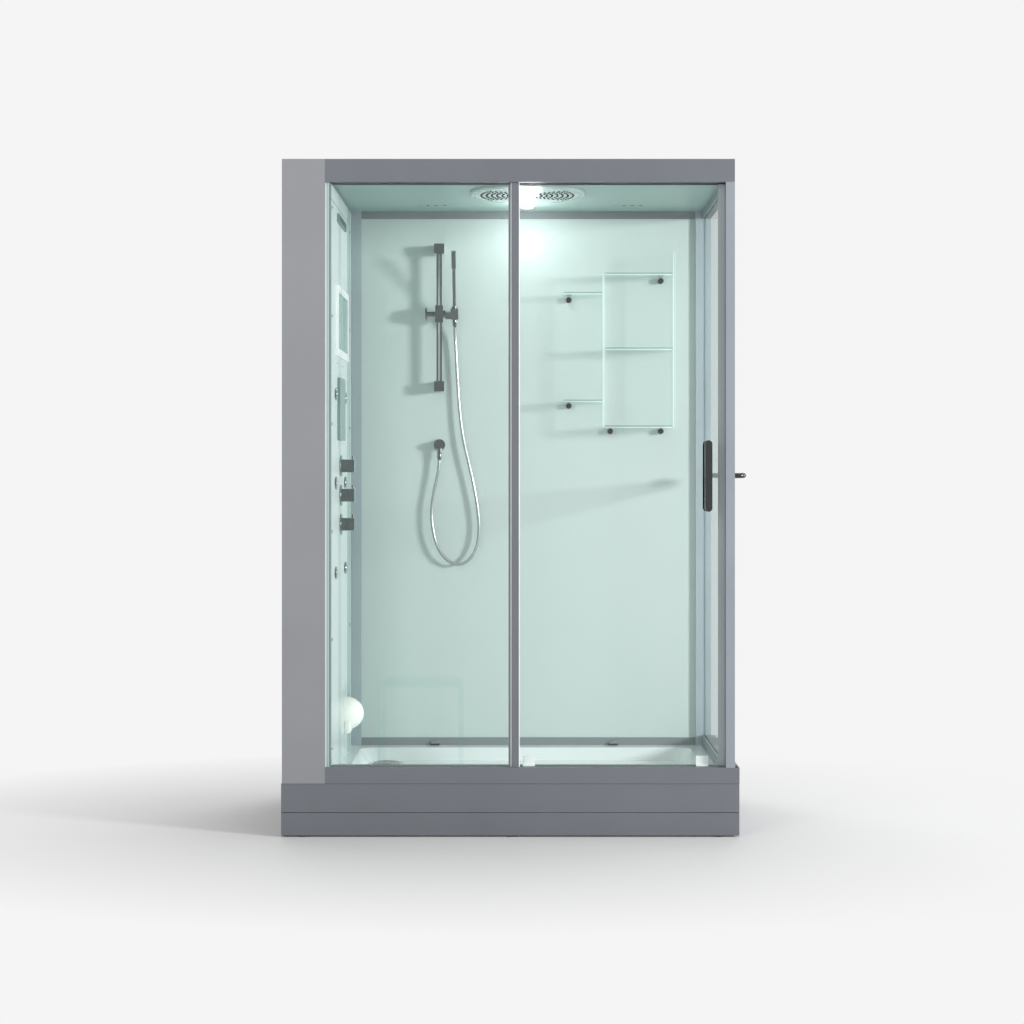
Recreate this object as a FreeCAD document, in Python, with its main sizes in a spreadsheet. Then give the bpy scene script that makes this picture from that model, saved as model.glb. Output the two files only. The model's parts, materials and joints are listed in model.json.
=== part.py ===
import FreeCAD, Part
import math
import os
import re

import Sketcher
from FreeCAD import Placement, Rotation, Vector

# A steam shower cabin. Millimetres, +Z up, +X to the right and +Y to the back wall as one faces the door.
# The origin is on the floor, under the middle of the base, at the middle levelling foot.

SIZES = {
    # the whole cabin
    "base_width": 1496,  # over the skirt boards
    "base_depth": 800,
    "cabin_height": 2213,
    "right_reveal": 15,  # from the skirt to the right post's outer face
    "column_reveal": 3,
    "column_width": 140,  # equipment column's front cover
    "wall_step": 18,  # from the cover's edge to the column's inner wall face
    # base
    "skirt_clearance": 5,  # from the floor to the boards
    "skirt_thickness": 12,
    "skirt_setback": 3,  # from the sill's front face
    "skirt_groove": 2,
    "lower_board": 74,
    "board_gap": 1,  # from the upper board to the sill's lip
    "rim_height": 188,
    "basin_depth": 40,
    "tray_skin": 8,
    "tray_setback": 12,
    "basin_left": 39,  # width of the flat rim at the column wall
    "basin_right": 51,
    "basin_front": 30,
    "basin_rear": 57,
    "slope_across": 36,  # run of the basin's side slopes
    "slope_along": 48,
    "basin_corner": 70,
    "sill_lip": 13,
    "lip_depth": 8,
    "sill_rise": 39,
    "angle_height": 40,  # steel angle under the tray's rim
    "angle_width": 30,
    "angle_wall": 3,
    "tube_size": 30,  # square tube across and in the legs
    "tube_wall": 2.5,
    "leg_inset": 56,  # from the skirt boards to the outer tubes' middles
    "leg_length": 60,
    "foot_radius": 25,
    "foot_rim": 4,
    "foot_collar": 12,
    "foot_height": 8,
    "rod_radius": 6,
    "rod_length": 82,
    # rails, posts and panes
    "rail_depth": 70,
    "header_height": 75,
    "header_entry": 4.4,  # spare depth above the fixed pane, for lifting it in
    "end_cap": 4,
    "post_width": 29,
    "post_depth": 50,
    "glass_thickness": 6,
    "groove_play": 0.1,  # between a pane and each side of its groove
    "groove_floor": 0.3,  # between a pane's edge and the bottom of its groove
    "groove_depth": 8,
    "glass_setback": 14,
    "door_gap": 14,
    "channel_width": 16,
    "channel_lead": 6,  # channel in front of and behind the fixed pane
    "mullion_x": 4.5,
    "mullion_width": 23,
    "mullion_rear": 8,
    "panel_thickness": 6,
    "back_setback": 50,  # from the back panel's face to the base's rear edge
    "back_step": 5,  # from the wall rails' face to the panel's
    "back_rail": 28,
    "back_rail_depth": 30,
    "rear_post_lead": 15,
    "rear_post_depth": 40,
    "rear_post_left": 36,
    "rear_post_right": 27,  # width left of the right pane's post line
    "right_glass_inset": 2,
    "side_rail_inset": 4,  # side rails stand this far inside the post line
    "side_fascia": 8,
    "ceiling_step": 13,
    "roof_thickness": 6,
    "roof_seat": 8,  # the roof's edge stands short of the side fascia
    # sliding door
    "door_overlap": 3.5,  # door glass behind the mullion's left face
    "door_reach": 14,  # from the door glass to the right post
    "door_lift": 5,
    "door_engage": 34,  # door glass inside the header
    "seal_clearance": 0.4,
    "seal_reach": 7,
    "seal_grip": 8,
    "seal_lip": 3,
    "fin_clearance": 0.4,
    "cavity_front": 27,  # running gear's slot in the header, from its front face
    "cavity_rear": 62,
    "cavity_height": 67,
    "ledge_depth": 14,
    "ledge_low": 26,
    "ledge_thickness": 4,
    "bead_width": 4,
    "bead_height": 3,
    "bead_setback": 5,
    "wheel_width": 12,
    "wheel_radius": 15.5,
    "wheel_tread": 13,
    "wheel_groove": 5,
    "wheel_flank": 0.7,
    "wheel_clearance": 0.3,
    "axle_radius": 4,
    "axle_play": 0.05,
    "axle_shoulder": 7,
    "shoulder_gap": 0.3,
    "wheel_hole": 2.5,
    "wheel_holes": 4,
    "wheel_hole_circle": 8.5,
    "hanger_inset": 90,
    "hanger_width": 64,
    "hanger_plate": 4,
    "hanger_low": 5,
    "hanger_top": 8,
    "hanger_bolt": 4,
    "bolt_play": 0.4,
    "clamp_height": 26,
    "guide_slot": 14,
    "guide_slot_depth": 14,
    "guide_inset": 60,
    "guide_width": 40,
    "guide_height": 46,
    "guide_play": 1.5,
    "guide_grip": 5,
    "handle_centre_z": 1178.5,
    "handle_length": 233,
    "handle_width": 24,
    "handle_depth": 12,
    "handle_inset": 57,  # from the post to the handle's middle
    "handle_standoff": 28,
    "standoff_radius": 8,
    "handle_bolt": 5,
    # ceiling
    "rain_shift": 1.5,  # to the left of the room's middle
    "rain_in": 308,  # distances in are from the cabin's front face
    "rain_radius": 198,
    "rain_depth": 10,
    "rain_bevel": 5,
    "rain_stem": 12,
    "rain_stem_rise": 17,
    "nozzle_radius": 3,
    "nozzle_drop": 1.5,
    "nozzle_first": 50,
    "nozzle_pitch": 18,
    "nozzle_rings": 7,
    "nozzle_sector": 50,  # half the angle of each nozzle field
    "nozzle_root": 1,  # the nozzles' length inside the head
    "sector_taper": 0.04,  # each ring's share of the sector lost to the next
    "slot_width": 4,
    "slot_depth": 1.5,
    "slot_start": 14,
    "lamp_in": 627,
    "lamp_radius": 29,
    "lamp_body": 23,
    "lamp_drop": 4,
    "lamp_rise": 34,
    "lamp_edge": 1,
    "vent_reach_left": 356,  # from the rain head's middle
    "vent_reach_right": 349,
    "vent_in": 600,
    "vent_pitch": 30,
    "vent_radius": 5,
    "hole_play": 0.5,
    "pipe_radius": 7,
    "elbow_share": 1.3,  # half the side of an elbow, in pipe radii
    # column wall
    "grille_in": 211,
    "grille_width": 258,
    "grille_drop": 113,  # from the ceiling
    "grille_height": 28,
    "grille_depth": 8,
    "slat_count": 3,
    "slat_gap": 5,
    "speaker_width": 100,
    "speaker_height": 84,
    "speaker_depth": 48,
    "display_in": 191,
    "display_width": 388,
    "display_rise": 71,  # from the control panel
    "display_height": 241,
    "display_depth": 6,
    "display_corner": 8,
    "screen_inset": 26,
    "screen_side": 42,
    "screen_recess": 2,
    "control_in": 225,
    "control_width": 184,
    "control_rise": 87,  # from the top knob's middle
    "control_height": 213,
    "control_depth": 10,
    "control_corner": 12,
    "jet_front": 160,
    "jet_rear": 480,
    "jet_rise": 43,  # from the middle knob to the middle jets
    "jet_pitch_top": 298,
    "jet_pitch_bottom": 301,
    "jet_radius": 21.5,
    "jet_flange": 6,
    "jet_tail": 13.5,
    "jet_tail_length": 30,
    "jet_ball": 10,
    "ball_play": 0.3,
    "ball_front": 8.5,
    "ball_back": 6,
    "jet_bore": 3,
    "jet_inlet": 8,
    "valve_in": 336,
    "knob_drop": 1039,  # from the ceiling to the middle knob
    "knob_pitch_top": 101,
    "knob_pitch_bottom": 100,
    "rosette_radius": 37,
    "rosette_thickness": 5,
    "rosette_bevel": 1.5,
    "knob_side": 44,
    "knob_edge": 3,
    "knob_hollow": 6,
    "knob_rim": 4,
    "knob_clearance": 0.3,
    "lever_radius": 3,
    "lever_height": 12,
    "lever_inset": 8,
    "spindle_radius": 5,
    "spindle_play": 0.1,
    "spindle_length": 18,
    "bonnet_radius": 12,
    "bonnet_reach": 13,  # bonnet past the wall's face
    "bonnet_hollow": 10,  # depth of the knob's hollow over the bonnet
    "valve_radius": 16,
    "valve_gap": 7,  # between the valve bodies and the back of the wall
    "manifold_offset": 73,  # from the wall's face to the manifold's axis
    "manifold_radius": 14,
    "manifold_reach": 27,  # manifold past the end valves
    "steam_in": 517,
    "steam_z": 306,
    "steam_neck": 36,
    "steam_cup": 55,
    "steam_cup_z": 340,
    "steam_cup_start": 25,
    "steam_cup_depth": 40,
    "steam_round": 12,
    "steam_tail": 14,
    "steam_tail_length": 30,
    "generator_in": 90,
    "generator_width": 110,
    "generator_depth": 260,
    "generator_height": 332,
    "generator_gap": 22,
    "generator_foot": 10,
    "generator_wall": 3,
    "box_gap": 15,  # from the box to the rear upright
    "box_depth": 180,
    "box_width": 80,
    "box_drop": 84,  # from the display's lower edge
    "box_height": 300,
    # column
    "sheet": 2,
    "side_sheet": 4,
    "cover_depth": 12,
    "upright": 20,
    "upright_top": 8,
    "inlet_radius": 10.5,
    "inlet_length": 30,
    "inlet_inset": 45,  # from the column's left edge
    "hot_rise": 38,  # from the middle knob
    "cold_drop": 37,
    "hand_pipe_drop": 102,
    "hand_pipe_inset": 63,
    "jet_feed_drop": 55,  # from the manifold's lower end
    "branch_radius": 6,
    "rear_pipe_gap": 12,
    # back wall fittings
    "riser_from_wall": 324,
    "riser_drop": 144,  # from the ceiling to the upper bracket's middle
    "riser_length": 502,
    "riser_width": 20,
    "riser_depth": 12,
    "riser_standoff": 50,
    "bracket_side": 37,
    "bracket_lead": 12,
    "bracket_edge": 1.5,
    "slider_drop": 238,  # from the upper bracket
    "slider_width": 29,
    "slider_height": 62,
    "slider_depth": 28,
    "slider_play": 0.1,
    "slider_edge": 1.5,
    "clamp_radius": 25.5,
    "clamp_disc": 6,
    "clamp_stem": 10,
    "clamp_stem_length": 29.5,
    "pin_radius": 4,
    "pin_length": 4,
    "pin_play": 0.1,
    "swivel_gap": 0.3,
    "holder_disc": 14.5,
    "holder_disc_thickness": 8,
    "holder_arm": 19,
    "holder_arm_height": 26,
    "holder_arm_drop": 16,
    "holder_width": 28,
    "holder_height": 40,
    "holder_drop": 17,
    "holder_depth": 24,
    "holder_arm_setback": 2,
    "holder_bore": 8.3,
    "handset_tilt": 23,
    "handset_shank": 8,
    "handset_drop": 24,
    "handset_collar": 10,
    "collar_thickness": 4,
    "handset_stem": 6.5,
    "handset_neck": 5,
    "neck_start": 168,
    "neck_length": 4,
    "handset_head": 9,
    "handset_top": 238,
    "handset_bevel": 1.5,
    "spray_cut": 6.5,  # from the handset's axis to its flat spray face
    "spray_margin": 6,
    "elbow_shift": 1,  # to the left of the riser
    "elbow_drop": 477,  # from the slider
    "elbow_disc": 21,
    "elbow_disc_depth": 8,
    "elbow_body": 14,
    "elbow_reach": 26,  # from the wall to the hose nut's axis
    "elbow_nose": 12,
    "nut_radius": 9,
    "nut_drop": 30,
    "elbow_tail": 12,
    "elbow_tail_length": 25,
    "hose_radius": 5.5,
    "hose_first_run": 45,
    # shelf unit
    "acrylic_thickness": 9,
    "shelf_depth": 120,
    "shelf_inset": 111,  # from the right post
    "shelf_width": 263,
    "shelf_drop": 161,  # from the ceiling to the right plate's top
    "shelf_wing_rise": 77,
    "shelf_height": 561,
    "shelf_middle_rise": 286,
    "side_shelf_width": 140,
    "side_shelf_drop": 79,
    "side_shelf_rise": 93,
    "clamp_pad": 10,
    "clamp_pad_depth": 22,
    "clamp_pad_gap": 0.2,
    "left_pad_inset": 21,
    "low_pad_inset": 33,
    "right_pad_inset": 44,
    # towel bar
    "bar_in_front": 77,
    "bar_gap": 85,  # from the rear foot to the rear post
    "bar_z": 1180,
    "bar_radius": 9,
    "bar_reach": 70,
    "bar_bend": 22,
    "bar_foot": 12.5,
    "bar_foot_thickness": 4,
    "bar_bolt": 4,
    # drain
    "drain_from_wall": 142,
    "drain_from_rear": 113,  # from the basin's rear edge
    "drain_flange": 61,
    "flange_height": 2,
    "drain_seat": 52,
    "drain_body": 42,
    "drain_body_drop": 48,
    "drain_bore": 36,
    "cover_radius": 51,
    "cover_height": 3,
    "cover_gap": 0.3,
    "cover_skirt": 30,
    "cover_skirt_drop": 5,
    "cover_skirt_wall": 2,
    "trap_radius": 45,
    "trap_height": 58,
    "outlet_radius": 20,
    "outlet_z": 66,
    "outlet_inset": 5,
    "outlet_nut": 26,
    "outlet_nut_reach": 5,  # past the trap's wall
    # stool
    "stool_from_wall": 135,
    "stool_width": 285,
    "stool_gap": 13,  # from the drain's flange
    "stool_depth": 257,
    "stool_height": 322,
    "stool_sheet": 10,
    "stool_bend": 30,
    "stool_clearance": 0.3,
    # caps at the foot of the back wall
    "cap_in_left": 306,  # from the column's wall
    "cap_in_right": 330,  # from the right post
    "cap_radius": 17,
    "cap_depth": 10,
}

PLACES = {
    "left_x": "-base_width / 2",
    "right_x": "base_width / 2",
    "front_y": "-base_depth / 2",
    "rear_y": "base_depth / 2",
    "column_left": "left_x + column_reveal",
    "column_right": "column_left + column_width",
    "wall_x": "column_right + wall_step",
    "wall_back": "wall_x - panel_thickness",
    "cabin_right": "right_x - right_reveal",
    "post_x": "cabin_right - post_width",
    "floor_z": "rim_height - basin_depth",
    "lip_z": "rim_height - sill_lip",
    "skirt_z": "lip_z - board_gap",
    "sill_z": "rim_height + sill_rise",
    "header_z": "cabin_height - header_height",
    "ceiling_z": "header_z + ceiling_step",
    "rail_y": "front_y + rail_depth",
    "glass_y": "front_y + glass_setback",
    "door_y": "glass_y + glass_thickness + door_gap",
    "door_back": "door_y + glass_thickness",
    "back_y": "rear_y - back_setback",
    "back_rail_y": "back_y - back_step",
    "rear_post_y": "back_y - rear_post_lead",
    "rear_post_end": "rear_post_y + rear_post_depth",
    "rear_left_x": "wall_x + rear_post_left",
    "rear_right_x": "post_x - rear_post_right",
    "right_glass_x": "post_x + right_glass_inset",
    "basin_x": "wall_x + basin_left",
    "basin_end": "post_x - basin_right",
    "basin_y": "rail_y + basin_front",
    "basin_back": "back_rail_y - basin_rear",
    "leg_left": "left_x + skirt_thickness + leg_inset",
    "leg_right": "right_x - skirt_thickness - leg_inset",
    "angle_z": "rim_height - tray_skin - angle_height",
    "tube_z": "angle_z - tube_size",
    "leg_z": "tube_z - leg_length",
    "door_left": "mullion_x - door_overlap",
    "door_right": "post_x - door_reach",
    "door_z": "sill_z + door_lift",
    "door_top": "header_z + door_engage",
    "hanger_left": "door_left + hanger_inset",
    "hanger_right": "door_right - hanger_inset",
    "ledge_z": "header_z + ledge_low",
    "bead_z": "ledge_z + ledge_thickness + bead_height",
    "bead_y": "front_y + cavity_rear - bead_setback - bead_width / 2",
    "axle_z": "bead_z + wheel_clearance + wheel_tread",
    "wheel_y": "bead_y - wheel_width / 2",
    "handle_x": "post_x - handle_inset",
    "rain_x": "(wall_x + post_x) / 2 - rain_shift",
    "rain_y": "front_y + rain_in",
    "lamp_y": "front_y + lamp_in",
    "vent_y": "front_y + vent_in",
    "vent_left": "rain_x - vent_reach_left",
    "vent_right": "rain_x + vent_reach_right",
    "knob_middle": "ceiling_z - knob_drop",
    "knob_top": "knob_middle + knob_pitch_top",
    "knob_bottom": "knob_middle - knob_pitch_bottom",
    "jet_middle": "knob_middle + jet_rise",
    "jet_top": "jet_middle + jet_pitch_top",
    "jet_bottom": "jet_middle - jet_pitch_bottom",
    "control_z": "knob_top + control_rise",
    "display_z": "control_z + control_height + display_rise",
    "grille_z": "ceiling_z - grille_drop",
    "box_z": "display_z - box_drop",
    "box_end": "rear_post_end - upright - box_gap",
    "inlet_x": "column_left + inlet_inset",
    "hot_z": "knob_middle + hot_rise",
    "cold_z": "knob_middle - cold_drop",
    "hand_pipe_x": "column_left + hand_pipe_inset",
    "hand_pipe_z": "knob_middle - hand_pipe_drop",
    "jet_feed_z": "knob_bottom - manifold_reach - jet_feed_drop",
    "jet_front_y": "front_y + jet_front",
    "jet_rear_y": "front_y + jet_rear",
    "valve_y": "front_y + valve_in",
    "manifold_x": "wall_x - manifold_offset",
    "steam_y": "front_y + steam_in",
    "riser_x": "wall_x + riser_from_wall",
    "riser_y": "back_y - riser_standoff",
    "riser_high": "ceiling_z - riser_drop",
    "riser_low": "riser_high - riser_length",
    "slider_z": "riser_high - slider_drop",
    "slider_left": "riser_x - slider_width / 2",
    "slider_right": "riser_x + slider_width / 2",
    "handset_x": "slider_right + swivel_gap + holder_disc_thickness + holder_arm + holder_width / 2",
    "elbow_x": "riser_x - elbow_shift",
    "elbow_y": "back_y - elbow_reach",
    "elbow_z": "slider_z - elbow_drop",
    "shelf_right": "post_x - shelf_inset",
    "shelf_left": "shelf_right - shelf_width",
    "shelf_wing": "ceiling_z - shelf_drop",
    "shelf_high": "shelf_wing - shelf_wing_rise",
    "shelf_low": "shelf_high - shelf_height",
    "shelf_middle": "shelf_low + shelf_middle_rise",
    "side_shelf_left": "shelf_left - side_shelf_width",
    "side_shelf_high": "shelf_high - side_shelf_drop",
    "side_shelf_low": "shelf_low + side_shelf_rise",
    "left_pad_x": "side_shelf_left + left_pad_inset",
    "low_pad_x": "shelf_left + low_pad_inset",
    "right_pad_x": "shelf_right - right_pad_inset",
    "bar_front_y": "front_y + bar_in_front",
    "bar_rear_y": "rear_post_y - bar_gap",
    "drain_x": "wall_x + drain_from_wall",
    "drain_y": "basin_back - drain_from_rear",
    "stool_x": "wall_x + stool_from_wall",
    "stool_y": "drain_y - drain_flange - stool_gap - stool_depth",
    "cap_left": "wall_x + cap_in_left",
    "cap_right": "post_x - cap_in_right",
}

SHEETS = {"sizes": SIZES, "places": PLACES}

# The hand shower's hose between its first and last runs: distances right of the riser's axis, behind it
# and above the slider's middle.
HOSE_POINTS = [
    (60, 31, -144),
    (65, 31, -237),
    (72, 30, -345),
    (83, 28, -441),
    (104, 27, -533),
    (125, 28, -623),
    (140, 29, -711),
    (146, 30, -783),
    (139, 28, -846),
    (114, 26, -896),
    (73, 24, -920),
    (29, 23, -904),
    (-4, 22, -863),
    (-23, 23, -804),
    (-31, 24, -735),
    (-25, 25, -671),
    (-12, 24, -609),
]
HOSE_LAST_RUN = 50

# The star of slots in the rain head: each one's turn from the middle line and its length.
RAIN_SLOTS = [(0, 52), (24, 92), (-24, 92), (48, 44), (-48, 44)]

OUTLINE_START = 100  # radius of the ring that an outline's corners lie on before their distances are set

TURNS = {
    "x": Rotation(Vector(0, 1, 0), 90),
    "-x": Rotation(Vector(0, 1, 0), -90),
    "y": Rotation(Vector(1, 0, 0), -90),
    "-y": Rotation(Vector(1, 0, 0), 90),
    "z": Rotation(),
    "-z": Rotation(Vector(1, 0, 0), 180),
}

doc = FreeCAD.newDocument("steam_shower")


# ---------------------------------------------------------------- sheets and expressions


def named(text, home=None):
    """Puts its sheet's name before each alias in an expression, apart from aliases of the home sheet."""

    def full(match):
        word = match.group()
        for sheet, cells in SHEETS.items():
            if word in cells and sheet != home:
                return f"{sheet}.{word}"
        return word

    return re.sub(r"[a-z]\w*", full, text)


def bind(item, path, text):
    item.setExpression(path, named(str(text)))


def fill_sheet(name, contents):
    sheet = doc.addObject("Spreadsheet::Sheet", name)
    for row, (alias, content) in enumerate(contents.items(), 1):
        sheet.set(f"A{row}", alias)
        sheet.set(f"B{row}", content)
        sheet.setAlias(f"B{row}", alias)
    return sheet


def read_sheets():
    """Every alias of both sheets with its number, for the shapes that are set in code."""
    return {alias: float(doc.getObject(name).get(alias)) for name, cells in SHEETS.items() for alias in cells}


# ---------------------------------------------------------------- solids


def put(item, spot, axis="z"):
    """Turns the item's own Z axis along the axis named and moves its origin to the spot."""
    item.Placement = Placement(Vector(), TURNS[axis])
    for letter, text in zip("xyz", spot):
        bind(item, f".Placement.Base.{letter}", text)
    return item


def box(name, x, y, z):
    item = doc.addObject("Part::Box", name)
    for side, (low, high) in zip(("Length", "Width", "Height"), (x, y, z)):
        bind(item, side, f"({high}) - ({low})")
    return put(item, (x[0], y[0], z[0]))


def cylinder(name, radius, length, spot, axis="z"):
    item = doc.addObject("Part::Cylinder", name)
    bind(item, "Radius", radius)
    bind(item, "Height", length)
    return put(item, spot, axis)


def group(name, items):
    item = doc.addObject("Part::Compound", name)
    item.Links = items
    return item


def fuse(name, items):
    item = doc.addObject("Part::MultiFuse", name)
    item.Shapes = items
    item.Refine = True
    return item


def cut(name, base, tools):
    item = doc.addObject("Part::Cut", name)
    item.Base = base
    item.Tool = tools[0] if len(tools) == 1 else group(f"{name}_cuts", tools)
    item.Refine = True
    return item


def common(name, base, tool):
    item = doc.addObject("Part::Common", name)
    item.Base = base
    item.Tool = tool
    return item


def sketch_in(body, role, level, name):
    """A sketch of the body on one of its origin planes, moved along the plane's normal to a level."""
    sketch = body.newObject("Sketcher::SketchObject", f"{body.Name}_{name}")
    plane = next(item for item in body.Origin.OriginFeatures if item.Role == role)
    sketch.AttachmentSupport = [(plane, "")]
    sketch.MapMode = "FlatFace"
    bind(sketch, ".AttachmentOffset.Base.z", level)
    return sketch


def draw(sketch, corners):
    """A closed outline through the corners, each held at its distances from the sketch's origin."""
    count = len(corners)
    angles = [math.tau * n / count for n in range(count)]
    ring = [Vector(math.cos(angle), math.sin(angle), 0) * OUTLINE_START for angle in angles]
    for n in range(count):
        sketch.addGeometry(Part.LineSegment(ring[n], ring[(n + 1) % count]), False)
    for n in range(count):
        sketch.addConstraint(Sketcher.Constraint("Coincident", n, 2, (n + 1) % count, 1))
    for n, corner in enumerate(corners):
        for kind, word, text in zip(("DistanceX", "DistanceY"), ("across", "along"), corner):
            number = sketch.addConstraint(Sketcher.Constraint(kind, -1, 1, n, 1, 1.0))
            sketch.renameConstraint(number, f"{word}_{n}")
            bind(sketch, f"Constraints.{word}_{n}", text)


def prism(name, role, low, high, corners):
    """A body: the outline on the plane named, drawn out from low to high along the plane's axis."""
    body = doc.addObject("PartDesign::Body", name)
    level = f"-({high})" if role == "XZ_Plane" else low
    sketch = sketch_in(body, role, level, "outline")
    draw(sketch, corners)
    pad = body.newObject("PartDesign::Pad", f"{name}_pad")
    pad.Profile = sketch
    bind(pad, "Length", f"({high}) - ({low})")
    body.Tip = pad
    return body


def turned(name, corners, spot, axis="z"):
    """A body turned about its own Z axis: corners are radius and height pairs."""
    body = doc.addObject("PartDesign::Body", name)
    sketch = sketch_in(body, "XZ_Plane", "0", "profile")
    draw(sketch, corners)
    turn = body.newObject("PartDesign::Revolution", f"{name}_turn")
    turn.Profile = sketch
    turn.ReferenceAxis = (sketch, ["V_Axis"])
    turn.Angle = 360
    body.Tip = turn
    return put(body, spot, axis)


def arc_corners(radius, first, last, count, centre=("0", "0")):
    """Corners along an arc, evenly spaced from one angle in degrees to another."""
    corners = []
    for n in range(count + 1):
        angle = f"(({first}) * {count - n} + ({last}) * {n}) / {count}"
        corners.append((f"{centre[0]} + ({radius}) * cos({angle})", f"{centre[1]} + ({radius}) * sin({angle})"))
    return corners


def soften(body, radius, wanted):
    """Rounds the edges of a body that pass the test, which is given each edge's two ends."""
    doc.recompute()
    last = body.Tip
    edges = last.Shape.Edges
    names = [f"Edge{n}" for n, edge in enumerate(edges, 1) if wanted(*(v.Point for v in edge.Vertexes))]
    fillet = body.newObject("PartDesign::Fillet", f"{body.Name}_fillet")
    fillet.Base = (last, names)
    bind(fillet, "Radius", radius)
    body.Tip = fillet
    return body


def along(letter):
    """A test for straight edges that run along one axis."""
    others = [other for other in "xyz" if other != letter]

    def wanted(first, last=None):
        if last is None:
            return False
        return all(abs(getattr(first - last, other)) < 1e-6 for other in others)

    return wanted


def pipe(name, radius, spots):
    """Straight pipes between spots that differ in one coordinate each, with a square elbow at each turn."""
    items = []
    for n, (a, b) in enumerate(zip(spots, spots[1:])):
        letter = next(k for k in range(3) if a[k] != b[k])
        spot = list(a)
        spot[letter] = f"min({a[letter]}; {b[letter]})"
        length = f"abs({b[letter]} - ({a[letter]}))"
        items.append(cylinder(f"{name}_run_{n}", radius, length, spot, "xyz"[letter]))
    half = f"{radius} * elbow_share"
    for n, spot in enumerate(spots[1:-1]):
        sides = [(f"{text} - {half}", f"{text} + {half}") for text in spot]
        items.append(box(f"{name}_elbow_{n}", *sides))
    return fuse(name, items)


def coded(name, shape):
    item = doc.addObject("Part::Feature", name)
    item.Shape = shape
    return item


# ---------------------------------------------------------------- base


def basin(name, skin):
    """The basin's inside, or its outside where skin is its wall: sloped sides and round corners."""
    body = doc.addObject("PartDesign::Body", name)
    sketches = []
    for word, level, inset in (("rim", "rim_height", 0), ("floor", f"floor_z - {skin}", 1)):
        sketch = sketch_in(body, "XY_Plane", level, word)
        x = (f"basin_x + {inset} * slope_across - {skin}", f"basin_end - {inset} * slope_across + {skin}")
        y = (f"basin_y + {inset} * slope_along - {skin}", f"basin_back - {inset} * slope_along + {skin}")
        draw(sketch, [(x[0], y[0]), (x[1], y[0]), (x[1], y[1]), (x[0], y[1])])
        sketches.append(sketch)
    loft = body.newObject("PartDesign::AdditiveLoft", f"{name}_loft")
    loft.Profile = sketches[0]
    loft.Sections = [sketches[1]]
    loft.Ruled = True
    body.Tip = loft
    return soften(body, f"basin_corner + {skin}", lambda a, b: abs(a.z - b.z) > 1)


def tray():
    deck = box(
        "tray_deck",
        ("left_x + skirt_thickness", "right_x - skirt_thickness"),
        ("front_y + tray_setback", "rear_y"),
        ("rim_height - tray_skin", "rim_height"),
    )
    shell = fuse("tray_shell", [deck, basin("tray_bowl", "tray_skin")])
    waste = cylinder(
        "tray_waste", "drain_body + hole_play", "basin_depth + tray_skin", ("drain_x", "drain_y", "floor_z - tray_skin")
    )
    return cut("tray", shell, [basin("tray_hollow", "0"), waste])


def base_frame():
    ring = []
    for word, inset, low, high in (
        ("outside", "0", "angle_z", "angle_z + angle_height"),
        ("inside", "angle_wall", "angle_z", "angle_z + angle_height - angle_wall"),
        ("opening", "angle_width", "angle_z", "angle_z + angle_height"),
    ):
        x = (f"left_x + skirt_thickness + {inset}", f"right_x - skirt_thickness - {inset}")
        y = (f"front_y + skirt_setback + skirt_thickness + {inset}", f"rear_y - {inset}")
        ring.append(box(f"frame_{word}", x, y, (low, high)))
    parts = [cut("frame_angle", ring[0], ring[1:])]
    for n, middle in enumerate(("leg_left", "0", "leg_right")):
        parts.append(cross_tube(f"frame_tube_{n}", middle))
        for k, y in enumerate(leg_rows(middle)):
            parts.append(leg(f"frame_leg_{n}_{k}", middle, y))
    return fuse("base_frame", parts)


def leg_rows(middle):
    front = "front_y + skirt_setback + skirt_thickness + tube_size / 2"
    rear = "rear_y - tube_size / 2"
    return [front, "0", rear] if middle == "0" else [front, rear]


def square_tube(name, x, y, z, open_letter):
    """A square tube, open at both ends along the axis named."""
    sides = [x, y, z]
    inner = []
    for letter, (low, high) in zip("xyz", sides):
        inset = "0" if letter == open_letter else "tube_wall"
        inner.append((f"{low} + {inset}", f"{high} - {inset}"))
    return cut(name, box(f"{name}_outside", *sides), [box(f"{name}_inside", *inner)])


def cross_tube(name, middle):
    x = (f"{middle} - tube_size / 2", f"{middle} + tube_size / 2")
    y = ("front_y + skirt_setback + skirt_thickness", "rear_y")
    return square_tube(name, x, y, ("tube_z", "angle_z"), "y")


def leg(name, x, y):
    half = "tube_size / 2"
    sides = [(f"{x} - {half}", f"{x} + {half}"), (f"{y} - {half}", f"{y} + {half}")]
    tube = square_tube(f"{name}_tube", *sides, ("leg_z", "tube_z"), "z")
    plate = box(f"{name}_plate", *sides, ("leg_z - angle_wall", "leg_z"))
    bored = cut(
        f"{name}_nut",
        plate,
        [cylinder(f"{name}_bore", "rod_radius + axle_play", "angle_wall", (x, y, "leg_z - angle_wall"))],
    )
    return fuse(name, [tube, bored])


def levelling_feet():
    feet = []
    profile = [
        ("0", "0"),
        ("foot_radius", "0"),
        ("foot_radius", "foot_rim"),
        ("foot_collar", "foot_rim"),
        ("foot_collar", "foot_height"),
        ("rod_radius", "foot_height"),
        ("rod_radius", "foot_height + rod_length"),
        ("0", "foot_height + rod_length"),
    ]
    for n, x in enumerate(("leg_left", "0", "leg_right")):
        for k, y in enumerate(leg_rows(x)):
            feet.append(turned(f"foot_{n}_{k}", profile, (x, y, "0")))
    return group("levelling_feet", feet)


def skirt_boards():
    front = ("front_y + skirt_setback", "front_y + skirt_setback + skirt_thickness")
    side = ("front_y + skirt_setback + skirt_thickness", "rear_y")
    whole = ("left_x", "right_x")
    low = "skirt_clearance"
    boards = [
        box("front_lower_board", whole, front, (low, f"{low} + lower_board")),
        box("front_upper_board", whole, front, (f"{low} + lower_board + skirt_groove", "skirt_z")),
        box("left_board", ("left_x", "left_x + skirt_thickness"), side, (low, "skirt_z")),
        box("right_board", ("right_x - skirt_thickness", "right_x"), side, (low, "skirt_z")),
    ]
    return group("skirt_boards", boards)


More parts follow.
